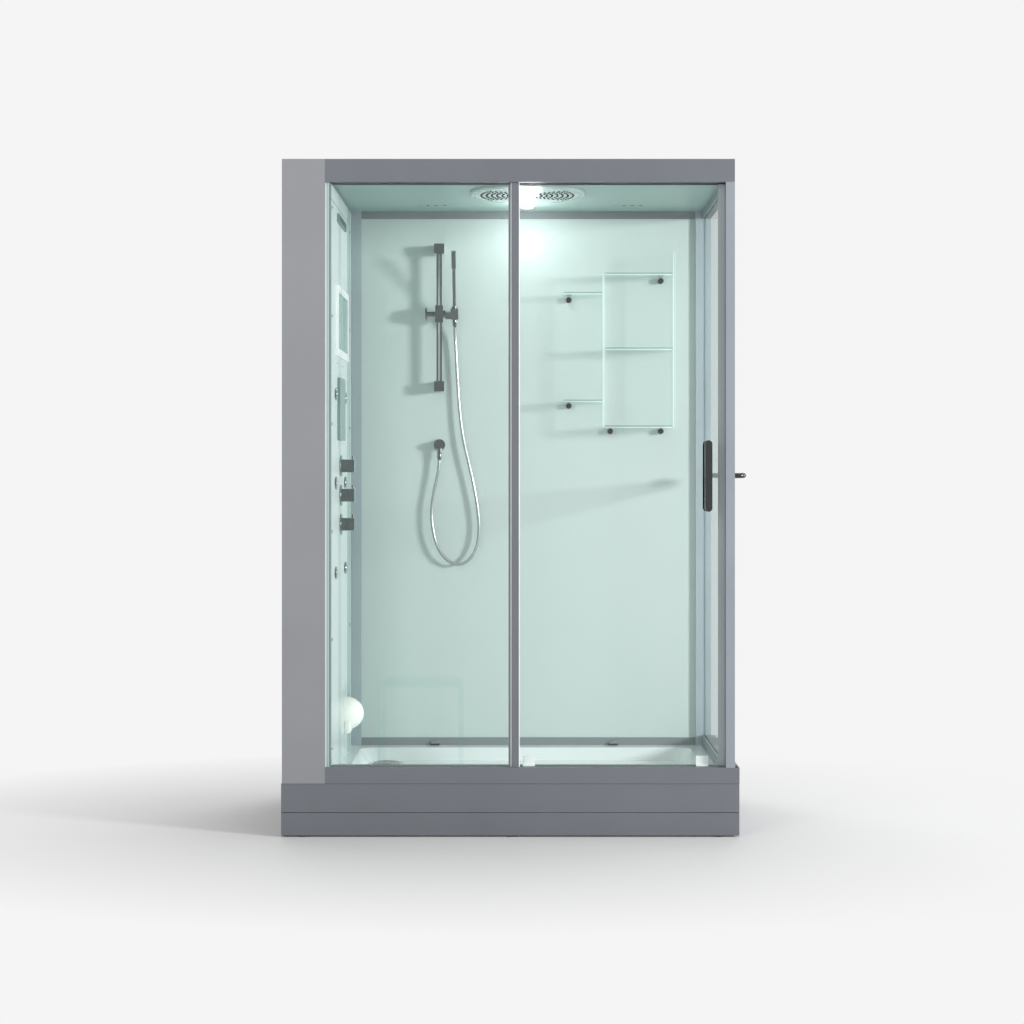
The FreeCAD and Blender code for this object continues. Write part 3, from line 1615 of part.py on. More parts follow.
def bracket(place):
    half = "bracket_side / 2"
    x = (f"riser_x - {half}", f"riser_x + {half}")
    z = (f"{place} - {half}", f"{place} + {half}")
    corners = [(x[0], z[0]), (x[1], z[0]), (x[1], z[1]), (x[0], z[1])]
    body = prism(f"{place}_bracket", "XZ_Plane", "riser_y - bracket_lead", "back_y", corners)
    return soften(body, "bracket_edge", along("y"))


def riser_slider():
    """The block that slides on the bar, bored for the clamp's pin and the holder's pivot."""
    half = ("slider_width / 2", "slider_depth / 2", "slider_height / 2")
    x = (f"riser_x - {half[0]}", f"riser_x + {half[0]}")
    z = (f"slider_z - {half[2]}", f"slider_z + {half[2]}")
    corners = [(x[0], z[0]), (x[1], z[0]), (x[1], z[1]), (x[0], z[1])]
    block = prism("slider_block", "XZ_Plane", f"riser_y - {half[1]}", f"riser_y + {half[1]}", corners)
    soften(block, "slider_edge", along("y"))
    bore = box(
        "slider_bore",
        ("riser_x - riser_width / 2 - slider_play", "riser_x + riser_width / 2 + slider_play"),
        ("riser_y - riser_depth / 2 - slider_play", "riser_y + riser_depth / 2 + slider_play"),
        z,
    )
    holes = []
    for word, start in (("left", "slider_left"), ("right", "slider_right - pin_length - swivel_gap")):
        spot = (start, "riser_y", "slider_z")
        holes.append(
            cylinder(f"slider_{word}_hole", "pin_radius + pin_play", "pin_length + swivel_gap", spot, "x")
        )
    return cut("riser_slider", block, [bore] + holes)


def clamp_knob():
    profile = [
        ("0", "-pin_length"),
        ("pin_radius", "-pin_length"),
        ("pin_radius", "swivel_gap"),
        ("clamp_stem", "swivel_gap"),
        ("clamp_stem", "clamp_stem_length"),
        ("clamp_radius", "clamp_stem_length"),
        ("clamp_radius", "clamp_stem_length + clamp_disc"),
        ("0", "clamp_stem_length + clamp_disc"),
    ]
    return turned("clamp_knob", profile, ("slider_left", "riser_y", "slider_z"), "-x")


def handset_holder():
    """The swivelling holder: pivot, disc, arm and a bored block, tilted with the handset."""
    disc_start = "swivel_gap"
    arm_start = f"{disc_start} + holder_disc_thickness"
    block_start = f"{arm_start} + holder_arm"
    half = "holder_depth / 2"
    items = [
        cylinder("holder_pin", "pin_radius", "pin_length + swivel_gap", ("-pin_length", "0", "0"), "x"),
        cylinder("holder_plate", "holder_disc", "holder_disc_thickness", (disc_start, "0", "0"), "x"),
        box(
            "holder_reach",
            (arm_start, block_start),
            (f"-{half} + holder_arm_setback", f"{half} - holder_arm_setback"),
            ("-holder_arm_drop", "holder_arm_height - holder_arm_drop"),
        ),
        box(
            "holder_block",
            (block_start, f"{block_start} + holder_width"),
            (f"-{half}", half),
            ("-holder_drop", "holder_height - holder_drop"),
        ),
    ]
    bore = cylinder(
        "holder_bore_cut",
        "holder_bore",
        "holder_height",
        (f"{block_start} + holder_width / 2", "0", "-holder_drop"),
    )
    holder = cut("handset_holder", fuse("holder_blank", items), [bore])
    return tilted(holder, ("slider_right", "riser_y", "slider_z"))


def tilted(item, spot):
    """Places an item at the spot and leans its top to the front by the handset's tilt."""
    item.Placement = Placement(Vector(), Rotation(Vector(1, 0, 0), SIZES["handset_tilt"]))
    for letter, text in zip("xyz", spot):
        bind(item, f".Placement.Base.{letter}", text)
    return item


def handset():
    """A slim stick: shank in the holder, collar, stem, neck and a head with a flat spray face."""
    rest = "holder_height - holder_drop + swivel_gap"
    head = "neck_start + neck_length"
    profile = [
        ("0", "-handset_drop"),
        ("handset_shank", "-handset_drop"),
        ("handset_shank", rest),
        ("handset_collar", rest),
        ("handset_collar", f"{rest} + collar_thickness"),
        ("handset_stem", f"{rest} + 2 * collar_thickness"),
        ("handset_stem", "neck_start"),
        ("handset_neck", "neck_start"),
        ("handset_neck", head),
        ("handset_head", head),
        ("handset_head", "handset_top - handset_bevel"),
        ("handset_head - handset_bevel", "handset_top"),
        ("0", "handset_top"),
    ]
    stick = turned("handset_stick", profile, ("0", "0", "0"))
    flat = box(
        "handset_spray_cut",
        ("-handset_head", "handset_head"),
        ("-handset_head", "-spray_cut"),
        (f"{head} + spray_margin", "handset_top - spray_margin"),
    )
    return tilted(cut("handset", stick, [flat]), ("handset_x", "riser_y", "slider_z"))


def wall_elbow():
    """Disc on the wall, body, hose nut pointing down and tail through the panel."""
    spot = ("elbow_x", "back_y - elbow_disc_depth", "elbow_z")
    length = "elbow_reach + elbow_nose"
    items = [
        cylinder("elbow_plate", "elbow_disc", "elbow_disc_depth", spot, "y"),
        cylinder("elbow_barrel", "elbow_body", length, ("elbow_x", f"back_y - ({length})", "elbow_z"), "y"),
        cylinder("elbow_nut", "nut_radius", "nut_drop", ("elbow_x", "elbow_y", "elbow_z - nut_drop")),
        cylinder("elbow_tail_pipe", "elbow_tail", "elbow_tail_length", ("elbow_x", "back_y", "elbow_z"), "y"),
    ]
    return fuse("wall_elbow", items)


def route(points, radii):
    """Straight runs through the points, with an arc of the given radius at each inner point."""
    edges = []
    last = points[0]
    for before, corner, after, radius in zip(points, points[1:], points[2:], radii):
        into = (before - corner).normalize()
        out = (after - corner).normalize()
        half = into.getAngle(out) / 2
        reach = radius / math.tan(half)
        start = corner + into * reach
        end = corner + out * reach
        bisector = (into + out).normalize()
        middle = corner + bisector * (radius / math.sin(half) - radius)
        edges.append(Part.LineSegment(last, start).toShape())
        edges.append(Part.Arc(start, middle, end).toShape())
        last = end
    edges.append(Part.LineSegment(last, points[-1]).toShape())
    return Part.Wire(edges)


def sweep(path, radius):
    first = path.Edges[0]
    start = first.valueAt(first.FirstParameter)
    ring = Part.Wire(Part.Circle(start, first.tangentAt(first.FirstParameter), radius).toShape())
    return path.makePipeShell([ring], True, False)


def hose_points():
    """From the handset's foot, down along its axis, round the loop and up into the wall elbow's nut."""
    tilt = math.radians(at["handset_tilt"])
    down = Vector(0, math.sin(tilt), -math.cos(tilt))
    pivot = Vector(at["handset_x"], at["riser_y"], at["slider_z"])
    start = pivot + down * at["handset_drop"]
    end = Vector(at["elbow_x"], at["elbow_y"], at["elbow_z"] - at["nut_drop"])
    slider = Vector(at["riser_x"], at["riser_y"], at["slider_z"])
    loop = [slider + Vector(*point) for point in HOSE_POINTS]
    return [start, start + down * at["hose_first_run"]] + loop + [end - Vector(0, 0, HOSE_LAST_RUN), end]


def bend_radii(points):
    """Each arc as large as its two runs allow."""
    radii = []
    for before, corner, after in zip(points, points[1:], points[2:]):
        turn = (corner - before).getAngle(after - corner)
        shorter = min((corner - before).Length, (after - corner).Length)
        radii.append(0.45 * shorter / math.tan(turn / 2))
    return radii


def shower_hose():
    points = hose_points()
    radii = bend_radii(points)
    path = route(points, radii)
    shape = sweep(path, at["hose_radius"])
    share = shape.Volume / (math.pi * at["hose_radius"] ** 2 * path.Length)
    print(f"hose: {path.Length:.0f} mm, least arc {min(radii):.0f} mm, volume over section x length {share:.4f}")
    return coded("shower_hose", shape)


def shelf_panels():
    """Two upright plates, three boards between them and two boards on the left."""
    y = ("back_y - shelf_depth", "back_y")
    left = ("shelf_left", "shelf_left + acrylic_thickness")
    right = ("shelf_right - acrylic_thickness", "shelf_right")
    panels = [
        box("shelf_left_plate", left, y, ("shelf_low", "shelf_high")),
        box("shelf_right_plate", right, y, ("shelf_low", "shelf_wing")),
    ]
    for n, low in enumerate(("shelf_low", "shelf_middle - acrylic_thickness / 2", "shelf_high - acrylic_thickness")):
        panels.append(box(f"shelf_board_{n}", (left[1], right[0]), y, (low, f"{low} + acrylic_thickness")))
    for n, low in enumerate(("side_shelf_low", "side_shelf_high")):
        panels.append(box(f"side_board_{n}", ("side_shelf_left", left[0]), y, (low, f"{low} + acrylic_thickness")))
    return group("shelf_panels", panels)


def shelf_clamps():
    """Round pads on the wall, each close under its board."""
    pads = []
    for n, (x, board) in enumerate(
        (
            ("left_pad_x", "side_shelf_low"),
            ("left_pad_x", "side_shelf_high"),
            ("low_pad_x", "shelf_low"),
            ("right_pad_x", "shelf_low"),
            ("right_pad_x", "shelf_high - acrylic_thickness"),
        )
    ):
        spot = (x, "back_y - clamp_pad_depth", f"{board} - clamp_pad - clamp_pad_gap")
        pads.append(cylinder(f"shelf_pad_{n}", "clamp_pad", "clamp_pad_depth", spot, "y"))
    return group("shelf_clamps", pads)


def towel_bar():
    """A bent bar outside the right pane; a bolt and a washer hold each foot from inside."""
    outer = at["right_glass_x"] + at["glass_thickness"]
    x = outer + at["bar_reach"] - at["bar_radius"]
    front = at["bar_front_y"]
    rear = at["bar_rear_y"]
    points = [Vector(outer, front, 0), Vector(x, front, 0), Vector(x, rear, 0), Vector(outer, rear, 0)]
    raised = [point + Vector(0, 0, at["bar_z"]) for point in points]
    bar = coded("towel_rail", sweep(route(raised, [at["bar_bend"]] * 2), at["bar_radius"]))
    feet = []
    washers = []
    for n, y in enumerate(("bar_front_y", "bar_rear_y")):
        start = ("right_glass_x + glass_thickness", y, "bar_z")
        feet.append(cylinder(f"bar_foot_{n}", "bar_foot", "bar_foot_thickness", start, "x"))
        profile = [
            ("0", "-bar_foot_thickness"),
            ("bar_foot", "-bar_foot_thickness"),
            ("bar_foot", "0"),
            ("bar_bolt", "0"),
            ("bar_bolt", "glass_thickness"),
            ("0", "glass_thickness"),
        ]
        washers.append(turned(f"bar_washer_{n}", profile, ("right_glass_x", y, "bar_z"), "x"))
    return group("towel_bar", [fuse("towel_rail_whole", [bar] + feet)] + washers)


# ---------------------------------------------------------------- drain and stool


def drain_flange():
    """The chrome ring on the tray's floor with a seat for the cover, and its body through the tray."""
    profile = [
        ("drain_bore", "-drain_body_drop"),
        ("drain_body", "-drain_body_drop"),
        ("drain_body", "0"),
        ("drain_flange", "0"),
        ("drain_flange - flange_height / 2", "flange_height"),
        ("drain_seat", "flange_height"),
        ("drain_seat", "flange_height / 2"),
        ("drain_bore", "flange_height / 2"),
    ]
    return turned("drain_flange", profile, ("drain_x", "drain_y", "floor_z"))


def drain_cover():
    profile = [
        ("0", "0"),
        ("cover_skirt - cover_skirt_wall", "0"),
        ("cover_skirt - cover_skirt_wall", "-cover_skirt_drop"),
        ("cover_skirt", "-cover_skirt_drop"),
        ("cover_skirt", "0"),
        ("cover_radius", "0"),
        ("cover_radius", "cover_height / 2"),
        ("cover_radius - cover_height", "cover_height"),
        ("0", "cover_height"),
    ]
    return turned("drain_cover", profile, ("drain_x", "drain_y", "floor_z + flange_height / 2 + cover_gap"))


def waste_trap():
    """The trap under the drain with its outlet to the rear."""
    top = "floor_z - drain_body_drop"
    body = cylinder("trap_body", "trap_radius", "trap_height", ("drain_x", "drain_y", f"{top} - trap_height"))
    spot = ("drain_x", "drain_y", "outlet_z")
    outlet = cylinder("trap_outlet", "outlet_radius", "rear_y - drain_y - outlet_inset", spot, "y")
    nut = cylinder("trap_nut", "outlet_nut", "trap_radius + outlet_nut_reach", spot, "y")
    return fuse("waste_trap", [body, outlet, nut])


def stool():
    """A bent clear sheet that stands on the tray's floor."""
    low = "floor_z + stool_clearance"
    top = "floor_z + stool_height"
    x = ("stool_x", "stool_x + stool_width")
    inner = ("stool_x + stool_sheet", "stool_x + stool_width - stool_sheet")
    corners = [
        (x[0], low),
        (inner[0], low),
        (inner[0], f"{top} - stool_sheet"),
        (inner[1], f"{top} - stool_sheet"),
        (inner[1], low),
        (x[1], low),
        (x[1], top),
        (x[0], top),
    ]
    body = prism("stool", "XZ_Plane", "stool_y", "stool_y + stool_depth", corners)
    edge = along("y")
    outer_top = at["floor_z"] + at["stool_height"]
    inner_top = outer_top - at["stool_sheet"]
    soften(body, "stool_bend", lambda a, b=None: edge(a, b) and abs(a.z - outer_top) < 1e-6)
    body.Tip.Label = "stool_outer_bend"
    return soften(body, "stool_bend - stool_sheet", lambda a, b=None: edge(a, b) and abs(a.z - inner_top) < 1e-6)


# ---------------------------------------------------------------- sliding door


def door_glass():
    pane = box("door_pane", ("door_left", "door_right"), ("door_y", "door_back"), ("door_z", "door_top"))
    holes = []
    for n, x in enumerate(("hanger_left", "hanger_right")):
        spot = (x, "door_y", "header_z + (door_engage + hanger_low) / 2")
        holes.append(cylinder(f"door_hanger_hole_{n}", "hanger_bolt + bolt_play", "glass_thickness", spot, "y"))
    for n, z in enumerate(HANDLE_BOLTS):
        spot = ("handle_x", "door_y", z)
        holes.append(cylinder(f"door_handle_hole_{n}", "handle_bolt + bolt_play", "glass_thickness", spot, "y"))
    return cut("door_glass", pane, holes)


HANDLE_BOLTS = [
    f"handle_centre_z {sign} (handle_length - handle_width) / 2" for sign in ("-", "+")
]


def door_handles():
    """The pull outside and its twin inside, on standoffs, with the bolts through the glass."""
    outside = "door_y - handle_standoff"
    inside = "door_back + handle_standoff"
    outer = [handle_bar("outer_handle", f"{outside} - handle_depth", outside)]
    inner = [handle_bar("inner_handle", inside, f"{inside} + handle_depth")]
    for n, z in enumerate(HANDLE_BOLTS):
        outer.append(
            cylinder(f"outer_standoff_{n}", "standoff_radius", "handle_standoff", ("handle_x", outside, z), "y")
        )
        outer.append(cylinder(f"handle_bolt_{n}", "handle_bolt", "glass_thickness", ("handle_x", "door_y", z), "y"))
        inner.append(
            cylinder(f"inner_standoff_{n}", "standoff_radius", "handle_standoff", ("handle_x", "door_back", z), "y")
        )
    return group("door_handles", [fuse("outer_pull", outer), fuse("inner_pull", inner)])


def handle_bar(name, low, high):
    half = "handle_width / 2"
    items = [
        box(f"{name}_middle", (f"handle_x - {half}", f"handle_x + {half}"), (low, high), tuple(HANDLE_BOLTS)),
    ]
    for n, z in enumerate(HANDLE_BOLTS):
        items.append(cylinder(f"{name}_end_{n}", half, f"({high}) - ({low})", ("handle_x", low, z), "y"))
    return fuse(name, items)


def door_seals():
    """Upright seals on the door's two edges; the left one has a fin towards the fixed pane."""
    low = ("door_y - seal_lip", "door_y - groove_play")
    high = ("door_back + groove_play", "door_back + seal_lip")
    right = [
        ("door_right - seal_grip", low[0]),
        ("post_x - seal_clearance", low[0]),
        ("post_x - seal_clearance", high[1]),
        ("door_right - seal_grip", high[1]),
        ("door_right - seal_grip", high[0]),
        ("door_right + groove_floor", high[0]),
        ("door_right + groove_floor", low[1]),
        ("door_right - seal_grip", low[1]),
    ]
    fin = "glass_y + glass_thickness + mullion_rear + fin_clearance"
    left = [
        ("door_left - seal_reach", fin),
        ("door_left - seal_reach + seal_lip", fin),
        ("door_left - seal_reach + seal_lip", low[0]),
        ("door_left + seal_grip", low[0]),
        ("door_left + seal_grip", low[1]),
        ("door_left - groove_floor", low[1]),
        ("door_left - groove_floor", high[0]),
        ("door_left + seal_grip", high[0]),
        ("door_left + seal_grip", high[1]),
        ("door_left - seal_reach", high[1]),
    ]
    top = "header_z - seal_lip"
    seals = [
        prism("right_seal", "XY_Plane", "door_z", top, right),
        prism("left_seal", "XY_Plane", "door_z", top, left),
    ]
    return group("door_seals", seals)


def door_hangers():
    """Two hangers clamped to the glass, each with its axle, and two guides that run in the sill."""
    items = []
    for n, x in enumerate(("hanger_left", "hanger_right")):
        items += hanger(f"hanger_{n}", x)
    for n, x in enumerate(("door_left + guide_inset", "door_right - guide_inset")):
        items.append(door_guide(f"guide_{n}", x))
    return group("door_hangers", items)


def hanger(name, x):
    sides = (f"{x} - hanger_width / 2", f"{x} + hanger_width / 2")
    low = "header_z + hanger_low"
    plate_end = "door_back + hanger_plate"
    plate = box(f"{name}_plate", sides, ("door_back", plate_end), (low, "axle_z + hanger_top"))
    bolt_z = "header_z + (door_engage + hanger_low) / 2"
    bolt = cylinder(f"{name}_bolt", "hanger_bolt", "glass_thickness", (x, "door_y", bolt_z), "y")
    shoulder_end = "wheel_y - shoulder_gap"
    shoulder = cylinder(
        f"{name}_shoulder", "axle_shoulder", f"{shoulder_end} - ({plate_end})", (x, plate_end, "axle_z"), "y"
    )
    axle_end = "wheel_y + wheel_width + shoulder_gap"
    axle = cylinder(f"{name}_axle", "axle_radius", f"{axle_end} - ({plate_end})", (x, plate_end, "axle_z"), "y")
    clamp = box(f"{name}_clamp", sides, ("door_y - hanger_plate", "door_y"), (low, f"{low} + clamp_height"))
    return [fuse(name, [plate, bolt, shoulder, axle]), clamp]


def door_guide(name, x):
    """A plastic shoe behind the glass whose foot runs in the sill's slot."""
    sides = (f"{x} - guide_width / 2", f"{x} + guide_width / 2")
    middle = "door_y + glass_thickness / 2"
    foot_top = "door_z"
    foot = (f"{middle} - guide_slot / 2 + guide_play", f"{middle} + guide_slot / 2 - guide_play")
    grip_end = "door_back + guide_grip"
    corners = [
        (foot[0], "sill_z - guide_slot_depth + guide_play"),
        (foot[1], "sill_z - guide_slot_depth + guide_play"),
        (foot[1], "sill_z + guide_play"),
        (grip_end, "sill_z + guide_play"),
        (grip_end, "sill_z - guide_slot_depth + guide_height"),
        ("door_back", "sill_z - guide_slot_depth + guide_height"),
        ("door_back", foot_top),
        (foot[0], foot_top),
    ]
    return prism(name, "YZ_Plane", *sides, corners)


def door_wheel(name, x):
    """A grooved wheel that runs on the header's bead; four holes show its turning."""
    flank = "(wheel_width - wheel_groove) / 2"
    bore = "axle_radius + axle_play"
    profile = [
        (bore, "0"),
        ("wheel_radius", "0"),
        ("wheel_radius", f"{flank} - wheel_flank"),
        ("wheel_tread", flank),
        ("wheel_tread", f"wheel_width - {flank}"),
        ("wheel_radius", f"wheel_width - {flank} + wheel_flank"),
        ("wheel_radius", "wheel_width"),
        (bore, "wheel_width"),
    ]
    blank = turned(f"{name}_blank", profile, (x, "wheel_y", "axle_z"), "y")
    holes = []
    count = int(SIZES["wheel_holes"])
    for n in range(count):
        angle = math.tau * (n + 0.5) / count
        spot = (
            f"{x} + wheel_hole_circle * {math.cos(angle):.9f}",
            "wheel_y",
            f"axle_z + wheel_hole_circle * {math.sin(angle):.9f}",
        )
        holes.append(cylinder(f"{name}_hole_{n}", "wheel_hole", "wheel_width", spot, "y"))
    return cut(name, blank, holes)


# ---------------------------------------------------------------- the whole cabin

BUILDERS = [
    tray,
    base_frame,
    levelling_feet,
    skirt_boards,
    sill_rail,
    header_rail,
    fixed_glass_channel,
    mullion,
    front_right_post,
    rear_posts,
    wall_rails,
    fixed_glass,
    right_glass,
    back_panel,
    roof_panel,
    column_wall_panel,
    column_front_cover,
    column_side_cover,
    column_frame,
    steam_generator,
    control_box,
    valve_manifold,
    water_pipes,
    speaker_grille,
    display,
    control_panel,
    knob_rosettes,
    jet_rings,
    steam_outlet,
    rain_head,
    ceiling_lamp,
    riser_bar,
    riser_slider,
    clamp_knob,
    handset_holder,
    handset,
    wall_elbow,
    shower_hose,
    shelf_panels,
    shelf_clamps,
    towel_bar,
    drain_flange,
    drain_cover,
    waste_trap,
    stool,
    door_glass,
    door_handles,
    door_seals,
    door_hangers,
]

REPEATS = {
    "temperature_knob": lambda name: square_knob(name, "knob_top"),
    "flow_knob": lambda name: square_knob(name, "knob_middle"),
    "diverter_knob": lambda name: square_knob(name, "knob_bottom"),
    "door_wheel_left": lambda name: door_wheel(name, "hanger_left"),
    "door_wheel_right": lambda name: door_wheel(name, "hanger_right"),
}


def check(items):
    for item in doc.Objects:
        if "Invalid" in item.State or "Error" in item.State:
            raise RuntimeError(f"{item.Name} failed: {item.State}")
    for item in items:
        if item.Shape.isNull() or not item.Shape.isValid() or not item.Shape.Solids:
            raise RuntimeError(f"{item.Name} has no valid solid")


fill_sheet("sizes", {alias: str(number) for alias, number in SIZES.items()})
fill_sheet("places", {alias: f"={named(text, 'places')}" for alias, text in PLACES.items()})
doc.recompute()
at = read_sheets()

sub_parts = [build() for build in BUILDERS]
sub_parts += [build(name) for name, build in REPEATS.items()]
sub_parts += [jet_nozzle(number) for number in range(1, len(JETS) + 1)]
doc.recompute()
check(sub_parts)

os.makedirs("parts", exist_ok=True)
for item in sub_parts:
    item.Label = item.Name
    item.Shape.exportStep(f"parts/{item.Label}.step")
print(f"{len(sub_parts)} sub-parts written")
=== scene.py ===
import json
import math

import bmesh
import bpy
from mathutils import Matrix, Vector


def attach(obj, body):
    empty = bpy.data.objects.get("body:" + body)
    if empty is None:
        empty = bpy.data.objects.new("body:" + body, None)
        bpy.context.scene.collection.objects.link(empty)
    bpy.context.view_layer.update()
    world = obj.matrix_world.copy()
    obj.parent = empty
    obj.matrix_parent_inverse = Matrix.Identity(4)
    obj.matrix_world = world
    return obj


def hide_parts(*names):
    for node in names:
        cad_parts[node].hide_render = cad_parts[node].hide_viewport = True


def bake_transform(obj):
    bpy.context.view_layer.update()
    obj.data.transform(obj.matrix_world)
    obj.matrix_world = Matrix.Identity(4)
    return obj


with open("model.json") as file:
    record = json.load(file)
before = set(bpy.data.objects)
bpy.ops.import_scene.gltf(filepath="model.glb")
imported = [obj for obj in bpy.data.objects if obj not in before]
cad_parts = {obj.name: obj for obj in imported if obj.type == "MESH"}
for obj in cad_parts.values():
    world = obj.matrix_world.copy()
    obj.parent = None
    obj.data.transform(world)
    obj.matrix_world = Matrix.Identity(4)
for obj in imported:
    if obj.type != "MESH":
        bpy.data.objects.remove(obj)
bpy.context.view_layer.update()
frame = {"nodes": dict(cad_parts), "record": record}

NODES = frame["nodes"]
SCENE = bpy.context.scene

# Places of the cabin in metres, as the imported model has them.
WALL_X = -0.587  # inner face of the column's wall
CEILING_Z = 2.151  # inner face of the roof
FLOOR_Z = 0.148  # floor of the tray
RIM_Z = 0.188  # rim of the tray
SILL_Z = 0.227  # top of the sill rail
HEADER_Z = 2.138  # underside of the header rail
RAIN = Vector((0.057, -0.092, CEILING_Z - 0.010))  # middle of the rain head's face
LAMP = Vector((0.057, 0.227, CEILING_Z - 0.004))  # middle of the ceiling lamp's face
DRAIN = Vector((-0.445, 0.175, FLOOR_Z))

RIGHTWARD = (1, 0, 0)
UP = (0, 0, 1)
DOWN = (0, 0, -1)

# ---------------------------------------------------------------- materials

CLOUD_BAND = (0.35, 0.65)  # the values that most of a slow noise lies between
GRAIN_BAND = (0.3, 0.7)  # the same for a fine noise
GRAIN_SHARE = 0.35  # how much of a paint's lighter tone its grain brings in
PAINT_RELIEF = 0.0004  # metres of bump in a paint's grain
PAINT_GLOSS = (0.85, 1.15)  # the ends of its roughness, as shares of the one given
COAT_ROUGHNESS = 0.08
SMEAR_SCALE = 6.0
PANE_SHINE = (0.9, 0.95, 0.94, 1)
PANE_SHARE = 0.02  # what a pane mirrors when seen square on
PANE_POWER = 5.0  # how late the mirroring rises as the view turns flat
BRUSH_SCALE, BRUSH_DETAIL = 8.0, 4.0
BRUSH_RELIEF = 0.0003
BRUSH_TONES = (0.88, 1.08)
BRUSH_GLOSS = (0.8, 1.3)
CHROME_SCALE, CHROME_DETAIL = 60.0, 5.0
# Chrome colours: the dark face and the bright edge are both painted reflection; the bright edge is a
# painted highlight.
CHROME_PAINTED_DARK_REFLECTION = ((0.06, 0.08, 0.08, 1), (0.13, 0.15, 0.15, 1))
CHROME_PAINTED_HIGHLIGHT = (0.80, 0.83, 0.83, 1)
CHROME_HIGHLIGHT_REACH = 0.45  # how far the painted highlight reaches over the face's painted dark reflection
CHROME_BAND, CHROME_GLOSS = (0.35, 0.7), (0.06, 0.14)


def linear(*display):
    """A display colour, 0 to 255, as linear light."""
    values = []
    for value in display:
        share = value / 255
        values.append(share / 12.92 if share <= 0.04045 else ((share + 0.055) / 1.055) ** 2.4)
    return (*values, 1.0)


def scaled(colour, factor):
    return (*(min(1.0, channel * factor) for channel in colour[:3]), 1.0)


class Nodes:
    """Short calls for building one material's node tree."""

    def __init__(self, name):
        self.material = bpy.data.materials.new(name)
        self.material.use_nodes = True
        self.tree = self.material.node_tree
        self.tree.nodes.clear()
        self.output = self.tree.nodes.new("ShaderNodeOutputMaterial")
        self.place = self.tree.nodes.new("ShaderNodeTexCoord").outputs["Object"]

    def add(self, kind, **inputs):
        node = self.tree.nodes.new(f"ShaderNode{kind}")
        for key, value in inputs.items():
            self.feed(node.inputs[key.replace("_", " ")], value)
        return node

    def feed(self, socket, value):
        if isinstance(value, bpy.types.NodeSocket):
            self.tree.links.new(value, socket)
        else:
            socket.default_value = value

    def noise(self, scale, detail=3.0, scales=None):
        source = self.place
        if scales:
            mapping = self.add("Mapping", Vector=source)
            mapping.inputs["Scale"].default_value = scales
            source = mapping.outputs[0]
        return self.add("TexNoise", Vector=source, Scale=scale, Detail=detail).outputs["Fac"]

    def ramp(self, value, band, ends):
        """A value brought from one band of numbers to another."""
        node = self.add("MapRange", Value=value)
        for key, number in zip(("From Min", "From Max", "To Min", "To Max"), (*band, *ends)):
            self.feed(node.inputs[key], number)
        return node.outputs[0]

    def reckon(self, kind, *values):
        node = self.tree.nodes.new("ShaderNodeMath")
        node.operation = kind
        for socket, value in zip(node.inputs, values):
            self.feed(socket, value)
        return node.outputs[0]

    def blend(self, share, first, second):
        node = self.tree.nodes.new("ShaderNodeMix")
        node.data_type = "RGBA"
        self.feed(node.inputs["Factor"], share)
        self.feed(node.inputs[6], first)
        self.feed(node.inputs[7], second)
        return node.outputs[2]

    def shaders(self, share, first, second):
        mix = self.add("MixShader", Fac=share)
        self.tree.links.new(first.outputs[0], mix.inputs[1])
        self.tree.links.new(second.outputs[0], mix.inputs[2])
        return mix.outputs[0]

    def bump(self, height, strength, distance):
        node = self.add("Bump", Height=height)
        node.inputs["Strength"].default_value = strength
        node.inputs["Distance"].default_value = distance
        return node.outputs[0]

    def finish(self, shader):
        self.tree.links.new(shader, self.output.inputs["Surface"])
        return self.material


def paint(name, colour, roughness, spread, grain, bump, metallic=0.0, coat=0.0, cloud=3.0):
    """A surface with slow clouds of tone, fine grain in its gloss and a fine bump."""
    nodes = Nodes(name)
    clouds = nodes.noise(cloud)
    fine = nodes.noise(grain, 2.0)
    tones = [scaled(colour, factor) for factor in (1 - spread, 1 + spread, 1 + 2 * spread)]
    mixed = nodes.blend(nodes.ramp(clouds, CLOUD_BAND, (0, 1)), tones[0], tones[1])
    mixed = nodes.blend(nodes.ramp(fine, GRAIN_BAND, (0, GRAIN_SHARE)), mixed, tones[2])
    shader = nodes.add("BsdfPrincipled", Base_Color=mixed)
    shader.inputs["Metallic"].default_value = metallic
    shader.inputs["Coat Weight"].default_value = coat
    shader.inputs["Coat Roughness"].default_value = COAT_ROUGHNESS
    gloss = [min(1, roughness * share) for share in PAINT_GLOSS]
    nodes.feed(shader.inputs["Roughness"], nodes.ramp(fine, GRAIN_BAND, gloss))
    nodes.feed(shader.inputs["Normal"], nodes.bump(fine, bump, PAINT_RELIEF))
    return nodes.finish(shader.outputs[0])


def pane(name, tint, mirror, roughness=0.02):
    """Clear sheet: light passes through with a tint, and it mirrors more the flatter it is seen."""
    nodes = Nodes(name)
    smear = nodes.noise(SMEAR_SCALE)
    through = nodes.add("BsdfTransparent", Color=tint)
    shine = nodes.add("BsdfGlossy", Color=PANE_SHINE)
    gloss = nodes.ramp(smear, GRAIN_BAND, (roughness, roughness * 2))
    nodes.feed(shine.inputs["Roughness"], gloss)
    slant = nodes.add("LayerWeight", Blend=0.5).outputs["Facing"]
    rise = nodes.reckon("POWER", slant, PANE_POWER)
    share = nodes.reckon("MULTIPLY_ADD", rise, mirror, PANE_SHARE)
    return nodes.finish(nodes.shaders(share, through, shine))


def brushed(name, colour, roughness, scales, bump=0.1):
    """Metal with fine marks in its tone, gloss and bump, closer together where the scale is larger."""
    nodes = Nodes(name)
    lines = nodes.noise(BRUSH_SCALE, BRUSH_DETAIL, scales)
    mixed = nodes.blend(lines, *(scaled(colour, factor) for factor in BRUSH_TONES))
    shader = nodes.add("BsdfPrincipled", Base_Color=mixed)
    shader.inputs["Metallic"].default_value = 1.0
    gloss = [roughness * share for share in BRUSH_GLOSS]
    nodes.feed(shader.inputs["Roughness"], nodes.ramp(lines, GRAIN_BAND, gloss))
    nodes.feed(shader.inputs["Normal"], nodes.bump(lines, bump, BRUSH_RELIEF))
    return nodes.finish(shader.outputs[0])


